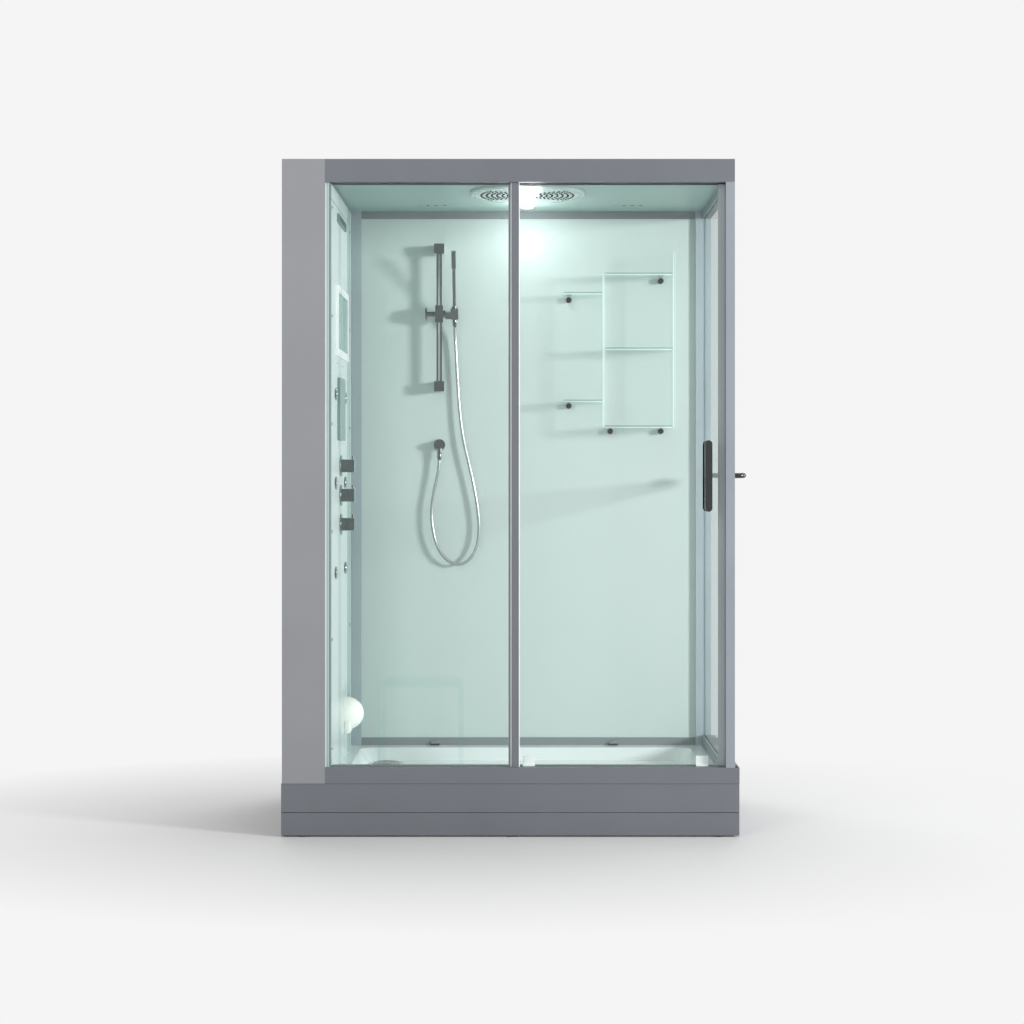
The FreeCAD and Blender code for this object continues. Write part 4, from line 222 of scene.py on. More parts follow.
def chrome_finish():
    """Chrome with painted reflection: coloured dark where it faces the view, with a painted highlight
    along its edges.
    """
    nodes = Nodes("chrome_finish")
    marks = nodes.noise(CHROME_SCALE, CHROME_DETAIL)
    # The base colour blends from the painted dark reflection to the painted highlight as the surface
    # turns away from the view.
    edge = nodes.add("LayerWeight", Blend=CHROME_HIGHLIGHT_REACH).outputs["Facing"]
    face = nodes.blend(marks, *CHROME_PAINTED_DARK_REFLECTION)
    shader = nodes.add("BsdfPrincipled", Base_Color=nodes.blend(edge, face, CHROME_PAINTED_HIGHLIGHT))
    shader.inputs["Metallic"].default_value = 1.0
    nodes.feed(shader.inputs["Roughness"], nodes.ramp(marks, CHROME_BAND, CHROME_GLOSS))
    return nodes.finish(shader.outputs[0])


# A paint's numbers are its roughness, spread of tone, grain per metre and bump, then metallic.
# A brushed metal's are its roughness and the scales of its marks along the three axes.
# A pane has its tint and how strongly it mirrors when seen flat.
MATERIALS = {
    "tray_acrylic": paint("tray_finish", linear(220, 228, 227), 0.18, 0.02, 700, 0.04, coat=0.3),
    "zinc_steel": brushed("zinc_finish", linear(176, 178, 180), 0.42, (40, 40, 40)),
    "foot_rubber": paint("rubber_finish", linear(34, 34, 36), 0.7, 0.1, 500, 0.3),
    "rail_paint": paint("rail_finish", linear(110, 114, 120), 0.42, 0.04, 1400, 0.3, 0.35),
    "cover_paint": paint("cover_finish", linear(140, 142, 145), 0.45, 0.03, 1400, 0.25, 0.3),
    "clear_glass": pane("glass_finish", (0.984, 0.993, 0.990, 1), 0.5),
    "mint_wall": paint("wall_finish", linear(191, 205, 202), 0.36, 0.02, 500, 0.03, cloud=0.8),
    "ceiling": paint("ceiling_finish", linear(150, 178, 172), 0.35, 0.03, 500, 0.05, cloud=0.8),
    "boiler_steel": brushed("boiler_finish", linear(190, 192, 194), 0.3, (4, 4, 400)),
    "white_plastic": paint("white_finish", linear(236, 239, 238), 0.25, 0.02, 600, 0.05, coat=0.3),
    "brass": brushed("brass_finish", linear(196, 160, 92), 0.3, (30, 30, 30)),
    "pipe_copper": brushed("copper_finish", linear(190, 118, 84), 0.32, (30, 30, 30)),
    "black_plastic": paint("black_plastic_finish", linear(26, 27, 28), 0.5, 0.15, 800, 0.2),
    "black_gloss": paint("black_gloss_finish", linear(14, 13, 14), 0.12, 0.15, 500, 0.03, coat=0.5),
    "chrome": chrome_finish(),
    "lamp_white": paint("lamp_finish", linear(250, 250, 246), 0.4, 0.01, 400, 0.05),
    "hose_silver": paint("hose_finish", linear(158, 166, 168), 0.22, 0.05, 900, 0.1, 0.7),
    "clear_acrylic": pane("acrylic_finish", (0.975, 0.992, 0.987, 1), 0.6),
    "seal_clear": paint("seal_finish", linear(168, 176, 178), 0.35, 0.04, 500, 0.1),
    "hanger_steel": brushed("hanger_finish", linear(190, 198, 199), 0.34, (60, 60, 60)),
    "wheel_plastic": paint("wheel_finish", linear(226, 225, 218), 0.4, 0.03, 500, 0.1),
}

# Nodes whose colour in the photograph differs from the rest of their slot.
OWN_FINISH = {
    "speaker_grille": paint("grille_finish", linear(108, 134, 130), 0.4, 0.05, 600, 0.1),
    "door_hangers": paint("guide_finish", linear(234, 242, 240), 0.3, 0.02, 600, 0.05),
    # The rain head's polished plate: its mint colour is painted reflection of the ceiling.
    "rain_head": paint("rain_head_painted_reflection_finish", linear(180, 200, 196), 0.25, 0.03, 500, 0.04, coat=0.2),
    # The next three are lighter copies of the rail paint: painted light, for how much more brightly
    # these posts and rails are lit than the header and sill.
    "rear_posts": paint("inner_post_painted_light_finish", linear(161, 175, 180), 0.42, 0.04, 1400, 0.3, 0.3),
    "wall_rails": paint("inner_rail_painted_light_finish", linear(129, 137, 140), 0.42, 0.04, 1400, 0.3, 0.3),
    "front_right_post": paint("right_post_painted_light_finish", linear(142, 149, 157), 0.42, 0.04, 1400, 0.3, 0.3),
    "column_wall_panel": paint(
        "column_wall_finish", linear(189, 201, 199), 0.3, 0.02, 500, 0.03, cloud=0.8
    ),
    # The control panel's glossy black glass: its mid-teal colour is painted reflection of the cabin's
    # inside.
    "control_panel": paint(
        "panel_painted_reflection_finish", linear(104, 134, 133), 0.08, 0.08, 300, 0.02, coat=0.6, cloud=5.0
    ),
}

# Finishes of the pieces that this script adds.
STRIP_MINT = paint("wall_strip_finish", linear(158, 186, 181), 0.35, 0.03, 500, 0.05, cloud=0.8)
# Dark seams between the wall's parts, which are real joints; the same colour is used as painted shade
# in the rain head's slots and the ceiling's holes.
SEAM_AND_HOLE_SHADE = paint("seam_and_hole_shade_finish", linear(74, 98, 97), 0.5, 0.05, 900, 0.1)
# The display's screen: its light grey-teal colour is painted reflection on its dark glass.
SCREEN_PAINTED_REFLECTION = paint(
    "screen_painted_reflection_finish", linear(138, 170, 166), 0.14, 0.05, 300, 0.02, coat=0.4, cloud=4.0
)
GASKET_WHITE = paint("gasket_finish", linear(236, 242, 242), 0.3, 0.02, 700, 0.08)
# Painted highlight along the polished edges of the clear shelves.
EDGE_PAINTED_HIGHLIGHT = paint("edge_painted_highlight_finish", linear(226, 241, 238), 0.2, 0.02, 700, 0.05)
EDGE_TEAL = paint("teal_edge_finish", linear(128, 164, 159), 0.2, 0.04, 700, 0.05)
HOOD_WHITE = paint("hood_finish", linear(246, 245, 240), 0.3, 0.01, 600, 0.05)

for entry in frame["record"]["subparts"]:
    item = NODES[entry["node"]]
    item.data.materials.clear()
    item.data.materials.append(OWN_FINISH.get(entry["node"], MATERIALS[entry["material_slot"]]))

# ---------------------------------------------------------------- the shower hose

# The route of part.py: down from the handset's foot, round the long loop and up to the wall elbow.
HOSE_ROUTE = [
    (-0.207, 0.3094, 1.7469),
    (-0.207, 0.3270, 1.7055),
    (-0.203, 0.331, 1.625),
    (-0.198, 0.331, 1.532),
    (-0.191, 0.330, 1.424),
    (-0.180, 0.328, 1.328),
    (-0.159, 0.327, 1.236),
    (-0.138, 0.328, 1.146),
    (-0.123, 0.329, 1.058),
    (-0.117, 0.330, 0.986),
    (-0.124, 0.328, 0.923),
    (-0.149, 0.326, 0.873),
    (-0.190, 0.324, 0.849),
    (-0.234, 0.323, 0.865),
    (-0.267, 0.322, 0.906),
    (-0.286, 0.323, 0.965),
    (-0.294, 0.324, 1.034),
    (-0.288, 0.325, 1.098),
    (-0.275, 0.324, 1.160),
    (-0.264, 0.324, 1.212),
    (-0.264, 0.324, 1.262),
]
HOSE_DIAMETER = 0.011
HOSE_STEPS = 12  # steps of the line from one point to the next
HOSE_FACETS = 5  # how round the tube is


def hose_line(bevel):
    """The hose's route as a NURBS line, and as a round tube where bevel is its radius."""
    curve = bpy.data.curves.new("hose_line", "CURVE")
    curve.dimensions = "3D"
    spline = curve.splines.new("NURBS")
    spline.points.add(len(HOSE_ROUTE) - 1)
    for point, spot in zip(spline.points, HOSE_ROUTE):
        point.co = (*spot, 1)
    spline.order_u = 3
    spline.use_endpoint_u = True
    spline.resolution_u = HOSE_STEPS
    curve.bevel_depth = bevel
    curve.bevel_resolution = HOSE_FACETS
    curve.use_fill_caps = bevel > 0
    line = bpy.data.objects.new("hose_line", curve)
    mesh = bpy.data.meshes.new_from_object(line)
    bpy.data.objects.remove(line)
    return mesh


def hose():
    mesh = hose_line(HOSE_DIAMETER / 2)
    for face in mesh.polygons:
        face.use_smooth = True
    piece = bpy.data.objects.new("hand_shower_hose", mesh)
    SCENE.collection.objects.link(piece)
    mesh.materials.clear()
    mesh.materials.append(MATERIALS["hose_silver"])
    return piece


hose_piece = hose()
hose_path = [tuple(vertex.co) for vertex in hose_line(0).vertices]
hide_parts("shower_hose")
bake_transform(hose_piece)

# ---------------------------------------------------------------- mesh helpers

SHARP_ANGLE = 35  # degrees between faces above which an edge is drawn sharp
EDGE_SEGMENTS = 2
EDGE_SHARE = 0.35  # the most of a box's smallest side that a rounded edge takes
MERGE_DISTANCE = 0.00005


def keep(name, form, finish, body="cabin"):
    """A bmesh as a named piece that rides on a body and takes its finish from a slot."""
    bmesh.ops.recalc_face_normals(form, faces=form.faces)
    mesh = bpy.data.meshes.new(name)
    form.to_mesh(mesh)
    form.free()
    mesh.shade_smooth()
    mesh.set_sharp_from_angle(angle=math.radians(SHARP_ANGLE))
    mesh.materials.append(finish)
    piece = bpy.data.objects.new(name, mesh)
    SCENE.collection.objects.link(piece)
    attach(piece, body)
    return piece


def block(form, low, high, edge):
    """A box with rounded edges, added to a bmesh."""
    made = bmesh.ops.create_cube(form, size=1)["verts"]
    size = Vector(high) - Vector(low)
    bmesh.ops.scale(form, vec=size, verts=made)
    bmesh.ops.translate(form, vec=(Vector(low) + Vector(high)) / 2, verts=made)
    bmesh.ops.bevel(
        form,
        geom=list({side for corner in made for side in corner.link_edges}),
        offset=min(edge, EDGE_SHARE * min(size)),
        segments=EDGE_SEGMENTS,
        affect="EDGES",
        profile=0.5,
    )


def turned(form, outline, centre, axis, steps):
    """Radius and height pairs, from axis to axis, turned round a line through the centre."""
    line = Vector(axis).normalized()
    side = line.orthogonal().normalized()
    other = line.cross(side)
    turns = [2 * math.pi * n / steps for n in range(steps)]
    ways = [side * math.cos(turn) + other * math.sin(turn) for turn in turns]
    rings = []
    for radius, height in outline:
        middle = Vector(centre) + line * height
        if radius == 0:
            rings.append([form.verts.new(middle)])
        else:
            rings.append([form.verts.new(middle + way * radius) for way in ways])
    for first, second in zip(rings, rings[1:]):
        for n in range(steps):
            corners = [first[n % len(first)], first[(n + 1) % len(first)]]
            corners += [second[(n + 1) % len(second)], second[n % len(second)]]
            form.faces.new(list(dict.fromkeys(corners)))


def turned_ring(form, outline, centre, steps):
    """A closed outline turned round the vertical line through the centre, facing down."""
    rows = []
    for n in range(steps):
        turn = 2 * math.pi * n / steps
        way = Vector((math.cos(turn), math.sin(turn), 0))
        row = [Vector(centre) + way * radius + Vector((0, 0, -height)) for radius, height in outline]
        rows.append([form.verts.new(corner) for corner in row])
    count = len(outline)
    for n in range(steps):
        first, second = rows[n], rows[(n + 1) % steps]
        for k in range(count):
            after = (k + 1) % count
            form.faces.new([first[k], first[after], second[after], second[k]])


def ribbon(form, spots, half, lift):
    """A flat band along level spots, half its width to each side and raised by its thickness."""
    rows = []
    for n, spot in enumerate(spots):
        ahead = Vector(spots[min(n + 1, len(spots) - 1)]) - Vector(spots[max(n - 1, 0)])
        side = ahead.cross(Vector(UP)).normalized() * half
        foot = Vector(spot)
        top = foot + Vector((0, 0, lift))
        row = [foot - side, foot + side, top + side, top - side]
        rows.append([form.verts.new(corner) for corner in row])
    for first, second in zip(rows, rows[1:]):
        for n in range(4):
            form.faces.new([first[n], first[(n + 1) % 4], second[(n + 1) % 4], second[n]])
    form.faces.new(rows[0][::-1])
    form.faces.new(rows[-1])


def boxes(name, corners, finish, edge):
    """One piece made of boxes, each given by its low and its high corner."""
    form = bmesh.new()
    for low, high in corners:
        block(form, low, high, edge)
    return keep(name, form, finish)


def turnings(name, spots, outline, axis, finish, steps=24, body="cabin"):
    """One piece made of the same turned outline at each spot."""
    form = bmesh.new()
    for spot in spots:
        turned(form, outline, spot, axis, steps)
    return keep(name, form, finish, body)


# ---------------------------------------------------------------- the column's inner wall

SCREW_ROWS = (
    (-0.347, (2.062, 1.706, 1.350, 0.996, 0.640, 0.282)),
    (0.258, (2.062, 1.706, 1.350, 0.985, 0.640, 0.282)),
)
SCREW_OUTLINE = (
    (0, -0.0004), (0.0062, -0.0004), (0.0062, 0.0006), (0.0046, 0.0018),
    (0.0026, 0.0023), (0.0022, 0.0012), (0, 0.0012),
)
DISPLAY_DOTS = ((-0.163, 1.560), (0.009, 1.560))
DOT_OUTLINE = ((0, -0.0004), (0.0042, -0.0004), (0.0042, 0.0004), (0.0034, 0.0010), (0, 0.0012))

STRIP_Y = (0.192, 0.270)
STRIP_LIFT = 0.0006
STRIP_EDGE = 0.0002
WALL_FOOT, WALL_TOP = RIM_Z + 0.002, HEADER_Z - 0.002
SEAM_Z = 2.088
SEAM_HALF = 0.0009
SEAM_START, SEAM_END = -0.372, STRIP_Y[0] - 0.003
SEAM_LIFT = 0.0005
SEAM_WIDTH = 0.0025
SEAM_PLACES = (-0.3735, SEAM_END, STRIP_Y[1] + 0.0003, 0.330)

SCREEN_X = -0.583
SCREEN_Y, SCREEN_Z = (-0.183, 0.135), (1.610, 1.801)
SCREEN_LIFT, FRAME_LIFT = 0.0008, 0.0011
FRAME_WIDTH = 0.004
SCREEN_EDGE, FRAME_EDGE = 0.0003, 0.0002

HOOD_MIDDLE = Vector((WALL_X, 0.117, 0.336))
HOOD_REACH = Vector((0.0645, 0.0545, 0.0585))
HOOD_FOOT = 0.2712
HOOD_PLATE = ((WALL_X, 0.066, HOOD_FOOT), (WALL_X + 0.020, 0.168, 0.352))
HOOD_EDGE = 0.003
HOOD_RINGS, HOOD_STEPS = 20, 40


def wall_screws():
    """The screws that hold the wall, and the two dark dots under the display."""
    spots = []
    for y, heights in SCREW_ROWS:
        face = WALL_X + (STRIP_LIFT if STRIP_Y[0] < y < STRIP_Y[1] else 0)
        spots += [(face, y, z) for z in heights]
    turnings("wall_screws", spots, SCREW_OUTLINE, RIGHTWARD, MATERIALS["chrome"])
    spots = [(WALL_X, y, z) for y, z in DISPLAY_DOTS]
    black = MATERIALS["black_plastic"]
    turnings("display_dots", spots, DOT_OUTLINE, RIGHTWARD, black)


def steam_hood():
    """The cream hood over the steam's way in: a dome on the wall with a flat foot, and its plate."""
    form = bmesh.new()
    arcs = [math.pi * n / HOOD_RINGS for n in range(1, HOOD_RINGS)]
    outline = [(0, 1), *((math.sin(arc), math.cos(arc)) for arc in arcs), (0, -1)]
    turned(form, outline, (0, 0, 0), (0, 1, 0), HOOD_STEPS)
    for corner in form.verts:
        x, y, z = corner.co
        reach = Vector((max(0, x) * HOOD_REACH.x, y * HOOD_REACH.y, z * HOOD_REACH.z))
        corner.co = HOOD_MIDDLE + reach
        corner.co.z = max(corner.co.z, HOOD_FOOT)
    bmesh.ops.remove_doubles(form, verts=form.verts, dist=MERGE_DISTANCE)
    bmesh.ops.dissolve_degenerate(form, dist=MERGE_DISTANCE, edges=form.edges)
    block(form, *HOOD_PLATE, HOOD_EDGE)
    piece = keep("steam_hood", form, HOOD_WHITE)
    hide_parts("steam_outlet")


def wall_strips():
    """The darker strip that covers the wall's joint, and the fine seams between its parts."""
    strip = ((WALL_X, STRIP_Y[0], WALL_FOOT), (WALL_X + STRIP_LIFT, STRIP_Y[1], WALL_TOP))
    boxes("wall_cover_strip", [strip], STRIP_MINT, STRIP_EDGE)
    lift = WALL_X + SEAM_LIFT
    low, high = SEAM_Z - SEAM_HALF, SEAM_Z + SEAM_HALF
    seams = [((WALL_X, SEAM_START, low), (lift, SEAM_END, high))]
    seams += [((WALL_X, y, WALL_FOOT), (lift, y + SEAM_WIDTH, WALL_TOP)) for y in SEAM_PLACES]
    boxes("wall_seams", seams, SEAM_AND_HOLE_SHADE, STRIP_EDGE)


def display_screen():
    """The display's screen, coloured with painted reflection, and the thin frame round it."""
    left, right = SCREEN_Y
    low, high = SCREEN_Z
    screen = ((SCREEN_X, left, low), (SCREEN_X + SCREEN_LIFT, right, high))
    boxes("display_screen", [screen], SCREEN_PAINTED_REFLECTION, SCREEN_EDGE)
    inner_left, inner_right = left + FRAME_WIDTH, right - FRAME_WIDTH
    sides = (
        ((left, low), (inner_left, high)),
        ((inner_right, low), (right, high)),
        ((inner_left, low), (inner_right, low + FRAME_WIDTH)),
        ((inner_left, high - FRAME_WIDTH), (inner_right, high)),
    )
    corners = [((SCREEN_X, *near), (SCREEN_X + FRAME_LIFT, *far)) for near, far in sides]
    boxes("display_rim", corners, EDGE_TEAL, FRAME_EDGE)


# ---------------------------------------------------------------- front glazing

GLAZING_Z = (0.2275, 2.1375)
CHANNEL_FRONT_Y = -0.392
CHANNEL_Y = (CHANNEL_FRONT_Y - 0.0012, CHANNEL_FRONT_Y + 0.0002)
CHANNEL_STRIPS = (
    ("channel_gasket", -0.6048, -0.6004, GASKET_WHITE),
    ("channel_mint", -0.5998, -0.5912, STRIP_MINT),
)
MULLION_X = (0.0045, 0.0275)
GASKET_Y = (-0.3905, -0.3872)
GASKET_WIDTH = 0.0034
CHANNEL_EDGE, GASKET_EDGE = 0.0004, 0.0008


def channel_strips():
    """The bright lip and the mint strip in the channel at the fixed pane's left edge."""
    for name, left, right, finish in CHANNEL_STRIPS:
        strip = ((left, CHANNEL_Y[0], GLAZING_Z[0]), (right, CHANNEL_Y[1], GLAZING_Z[1]))
        boxes(name, [strip], finish, CHANNEL_EDGE)


def mullion_gaskets():
    """The bright lips of the seals that the mullion holds against the glass, one at each side."""
    left, right = MULLION_X
    lips = [
        ((low, GASKET_Y[0], GLAZING_Z[0]), (high, GASKET_Y[1], GLAZING_Z[1]))
        for low, high in ((left - GASKET_WIDTH, left), (right, right + GASKET_WIDTH))
    ]
    boxes("mullion_gaskets", lips, GASKET_WHITE, GASKET_EDGE)


# ---------------------------------------------------------------- ceiling

NOZZLE_RINGS, NOZZLE_FIRST, NOZZLE_PITCH = 7, 0.050, 0.018
NOZZLE_SECTOR, SECTOR_TAPER = math.radians(50), 0.04
NOZZLE_OUTLINE = (
    (0, -0.0002), (0.0037, -0.0002), (0.0037, 0.0008), (0.0033, 0.0019),
    (0.0024, 0.0024), (0.0018, 0.0018), (0, 0.0018),
)
NOZZLE_STEPS = 12
# Place and thickness of the painted shade in the rain head's slots.
SLOT_SHADE_Z = RAIN.z - 0.0004
SLOT_SHADE_THICKNESS = 0.0006
SLOTS = ((0, 0.052), (24, 0.092), (-24, 0.092), (48, 0.044), (-48, 0.044))  # turn and length
SLOT_START, SLOT_HALF = 0.012, 0.0016
ARC_RADIUS, ARC_HALF = 0.182, 0.0013
ARC_STARTS = (-62, -29, 4, 37)
ARC_SPAN, ARC_STEPS = 26, 12

LENS_GLOW = 2.2
LENS_SCALE, LENS_DETAIL = 240.0, 2.0
LENS_TONES = ((0.92, 0.97, 0.96, 1), (1, 1, 1, 1))
LENS_OUTLINE = (
    (0, -0.0005), (0.0245, -0.0005), (0.0245, 0.0006), (0.021, 0.0022), (0.012, 0.0032), (0, 0.0036)
)
LAMP_RING = (
    (0.0245, -0.0006), (0.0288, -0.0006), (0.0288, 0.0008), (0.0272, 0.0020), (0.0252, 0.0014)
)
LAMP_STEPS = 40

VENT_Y, VENT_PITCH, VENT_COUNT = 0.200, 0.030, 3
VENT_STARTS = (RAIN.x - 0.356, RAIN.x + 0.349)
VENT_OUTLINE = ((0, -0.002), (0.0062, -0.002), (0.0062, 0.0006), (0.005, 0.0012), (0, 0.0004))
VENT_STEPS = 20


def round_rain(radius, turn, height):
    """A spot at a radius from the rain head's middle."""
    return (RAIN.x + radius * math.cos(turn), RAIN.y + radius * math.sin(turn), height)


def rain_tips():
    """A soft dark sleeve over each nozzle of the rain head's two fields."""
    spots = []
    for ring in range(NOZZLE_RINGS):
        radius = NOZZLE_FIRST + ring * NOZZLE_PITCH
        span = 2 * NOZZLE_SECTOR * (1 - SECTOR_TAPER * ring)
        gaps = round(span * radius / NOZZLE_PITCH)
        for side in (0, math.pi):
            turns = [side - span / 2 + span * n / gaps for n in range(gaps + 1)]
            spots += [round_rain(radius, turn, RAIN.z) for turn in turns]
    black = MATERIALS["black_plastic"]
    turnings("rain_nozzle_tips", spots, NOZZLE_OUTLINE, DOWN, black, NOZZLE_STEPS)


def rain_slots():
    """Dark bands in the star of slots at the head's middle and in the arcs round its rim: painted
    shade in the slots.
    """
    form = bmesh.new()
    for turn, length in SLOTS:
        for side in (90, 270):
            way = math.radians(side + turn)
            ends = (SLOT_START, SLOT_START + length)
            spots = [round_rain(radius, way, SLOT_SHADE_Z) for radius in ends]
            ribbon(form, spots, SLOT_HALF, SLOT_SHADE_THICKNESS)
    for side in (0, 180):
        for start in ARC_STARTS:
            turns = [side + start + ARC_SPAN * n / ARC_STEPS for n in range(ARC_STEPS + 1)]
            spots = [round_rain(ARC_RADIUS, math.radians(turn), SLOT_SHADE_Z) for turn in turns]
            ribbon(form, spots, ARC_HALF, SLOT_SHADE_THICKNESS)
    keep("rain_slot_shade", form, SEAM_AND_HOLE_SHADE)


def lamp_lens():
    """The ceiling lamp's glowing lens and the bright ring that holds it."""
    nodes = Nodes("lens_finish")
    grain = nodes.noise(LENS_SCALE, LENS_DETAIL)
    shine = nodes.add("Emission", Color=nodes.blend(grain, *LENS_TONES))
    shine.inputs["Strength"].default_value = LENS_GLOW
    lens = nodes.finish(shine.outputs[0])
    turnings("lamp_lens", [LAMP], LENS_OUTLINE, DOWN, lens, LAMP_STEPS)
    form = bmesh.new()
    turned_ring(form, LAMP_RING, LAMP, LAMP_STEPS)
    keep("lamp_ring", form, MATERIALS["chrome"])


def vent_hole_shade():
    """A dark sleeve in each of the ceiling's two rows of small holes: painted shade inside the holes.
    """
    spots = [
        (start + n * VENT_PITCH, VENT_Y, CEILING_Z) for start in VENT_STARTS for n in range(VENT_COUNT)
    ]
    turnings("ceiling_hole_shade", spots, VENT_OUTLINE, DOWN, SEAM_AND_HOLE_SHADE, VENT_STEPS)


# ---------------------------------------------------------------- tray and base

COVER_TOP = 0.1523
DRAIN_RINGS = ((0.012, 4), (0.022, 6), (0.032, 9), (0.041, 12))  # radius and number of openings
WAVE_HEIGHT, WAVE_HALF, WAVE_THICKNESS = 0.0022, 0.0012, 0.0005
WAVE_Z = COVER_TOP - 0.0001
WAVE_SHARE = 0.72  # how much of its part of the ring an opening takes
WAVE_STAGGER = 0.25  # how far every second ring is turned, in such parts
WAVE_STEPS = 10

CAP_PLACES = (-0.281, 0.374)
CAP_HALF, CAP_HEIGHT = 0.0176, 0.0080
CAP_Y = (0.3342, 0.3458)
CAP_EDGE = 0.0025
PLUG_SPOT = (0.740, -0.392, SILL_Z)
PLUG_OUTLINE = ((0, -0.001), (0.005, -0.001), (0.005, 0.0015), (0.0035, 0.003), (0, 0.0035))


def drain_pattern():
    """Dark wavy ribbons in rings on the drain's cover: painted shade where its openings are."""
    form = bmesh.new()
    for ring, (radius, waves) in enumerate(DRAIN_RINGS):
        part = 2 * math.pi / waves
        for n in range(waves):
            first = part * (n + WAVE_STAGGER * (ring % 2))
            line = []
            for step in range(WAVE_STEPS + 1):
                share = step / WAVE_STEPS
                turn = first + part * WAVE_SHARE * share
                wave = radius + WAVE_HEIGHT * math.sin(2 * math.pi * share)
                x, y = DRAIN.x + wave * math.cos(turn), DRAIN.y + wave * math.sin(turn)
                line.append((x, y, WAVE_Z))
            ribbon(form, line, WAVE_HALF, WAVE_THICKNESS)
    keep("drain_opening_shade", form, MATERIALS["black_plastic"], "cover")


def small_caps():
    """The two caps at the foot of the back wall, and the plug in the sill's right end."""
    black = MATERIALS["black_plastic"]
    caps = [
        ((x - CAP_HALF, CAP_Y[0], RIM_Z), (x + CAP_HALF, CAP_Y[1], RIM_Z + CAP_HEIGHT))
        for x in CAP_PLACES
    ]
    boxes("wall_foot_caps", caps, black, CAP_EDGE)
    turnings("sill_plug", [PLUG_SPOT], PLUG_OUTLINE, UP, black)


# ---------------------------------------------------------------- shelf

SHELF_FRONT = 0.230
EDGE_Y = (SHELF_FRONT - 0.0006, SHELF_FRONT + 0.0010)
EDGE_INSET = 0.001  # what an edge leaves free at each end of its board
EDGE_MARGIN = 0.0002  # what it leaves free at the board's faces
UPRIGHT_LINES = (0.0036, 0.0020)  # how far the painted highlight lines reach from an upright's left face, and from its right
HIGHLIGHT_LINE_REACH = 0.0026  # how far the painted highlight line reaches from a board's lower face
TEAL_LINE = (0.0036, 0.0004)  # from a board's upper face
LINE_EDGE = 0.0004

# Each panel's left and right, and its low and high.
UPRIGHTS = ((0.330, 0.339, 1.352, 1.913), (0.584, 0.593, 1.352, 1.990))
BOARDS = (
    (0.339, 0.584, 1.352, 1.361),
    (0.339, 0.584, 1.6335, 1.6425),
    (0.339, 0.584, 1.904, 1.913),
    (0.190, 0.330, 1.445, 1.454),
    (0.190, 0.330, 1.834, 1.843),
)


def shelf_edges():
    """The polished edges of the clear panels: painted highlights on the uprights and along the boards'
    lower faces, bottle green along the boards' upper faces.
    """
    bright, teal = [], []
    near, far = EDGE_Y
    for left, right, low, high in UPRIGHTS:
        foot, top = low + EDGE_INSET, high - EDGE_INSET
        bright.append(((left + EDGE_MARGIN, near, foot), (left + UPRIGHT_LINES[0], far, top)))
        bright.append(((right - UPRIGHT_LINES[1], near, foot), (right - EDGE_MARGIN, far, top)))
    for left, right, low, high in BOARDS:
        start, end = left + EDGE_INSET, right - EDGE_INSET
        bright.append(((start, near, low + EDGE_MARGIN), (end, far, low + HIGHLIGHT_LINE_REACH)))
        teal.append(((start, near, high - TEAL_LINE[0]), (end, far, high - TEAL_LINE[1])))
    boxes("shelf_painted_highlights", bright, EDGE_PAINTED_HIGHLIGHT, LINE_EDGE)
    boxes("shelf_teal_edges", teal, EDGE_TEAL, LINE_EDGE)


# ---------------------------------------------------------------- hand shower

# A pale strip on the face of the riser bar: a painted highlight.
RISER_GLINT = ((-0.2672, 0.29388, 1.525), (-0.2596, 0.2944, 1.987))
RISER_GLINT_EDGE = 0.0001
FERRULE = (
    (0, -0.002), (0.0072, -0.002), (0.0086, 0.0), (0.0086, 0.016),
    (0.0074, 0.020), (0.0062, 0.026), (0, 0.026),
)
HOSE_ENDS = (
    ("hose_nut_hand", "holder", HOSE_ROUTE[0], HOSE_ROUTE[1]),
    ("hose_nut_wall", "cabin", HOSE_ROUTE[-1], HOSE_ROUTE[-2]),
)


def riser_painted_highlight():
    """A pale strip down the face of the riser bar: a painted highlight."""
    boxes("riser_painted_highlight", [RISER_GLINT], MATERIALS["hose_silver"], RISER_GLINT_EDGE)


def ferrules():
    """The nuts at the hose's two ends."""
    chrome = MATERIALS["chrome"]
    for name, body, spot, after in HOSE_ENDS:
        way = Vector(after) - Vector(spot)
        turnings(name, [spot], FERRULE, way, chrome, body=body)


wall_screws()
steam_hood()
vent_hole_shade()
riser_painted_highlight()
wall_strips()
display_screen()
channel_strips()
mullion_gaskets()
rain_tips()
rain_slots()
lamp_lens()
drain_pattern()
small_caps()
shelf_edges()
ferrules()

# ---------------------------------------------------------------- stage, lights and camera

BACKGROUND = 0.913  # what the background shows, in linear light
WORLD_LIGHT = 0.50  # what it lights the object with
FLOOR_TONE = 0.67
FLOOR_SIZE = 40
SHADOW_MIDDLE_Y = -0.1
SHADOW_SQUEEZE = 0.62  # across, since the shadow is wider than it is deep
SHADOW_FADE = (0.55, 1.55)  # metres from its middle, where the shadow starts and ends to fade

# Name, place, what it is aimed at, size and watts.
AREA_LIGHTS = (
    ("key", (7.4, -3.9, 2.35), (0, 0.1, 1.2), (1.1, 1.1), 700),
    ("fill", (-4.2, -5.6, 3.4), (0, 0, 1.1), (3.0, 3.0), 110),
    ("top", (0, 2.6, 4.6), (0, -0.6, 0), (4.0, 2.0), 110),
    ("side", (7.0, 0.3, 1.5), (0, 0, 1.2), (2.2, 2.4), 130),
)
GLOW_DROP = Vector((0, -0.08, -0.09))
GLOW_WATTS, GLOW_SIZE = 1.45, 0.05

CAMERA_SPOT = (0.0318, -6.248, 1.185)
CAMERA_SENSOR, CAMERA_LENS = 36, 63.03
CAMERA_SHIFT = (-0.0078, -0.0371)
CLEAR_BOUNCES = 32  # enough for a ray through every pane and board in its way


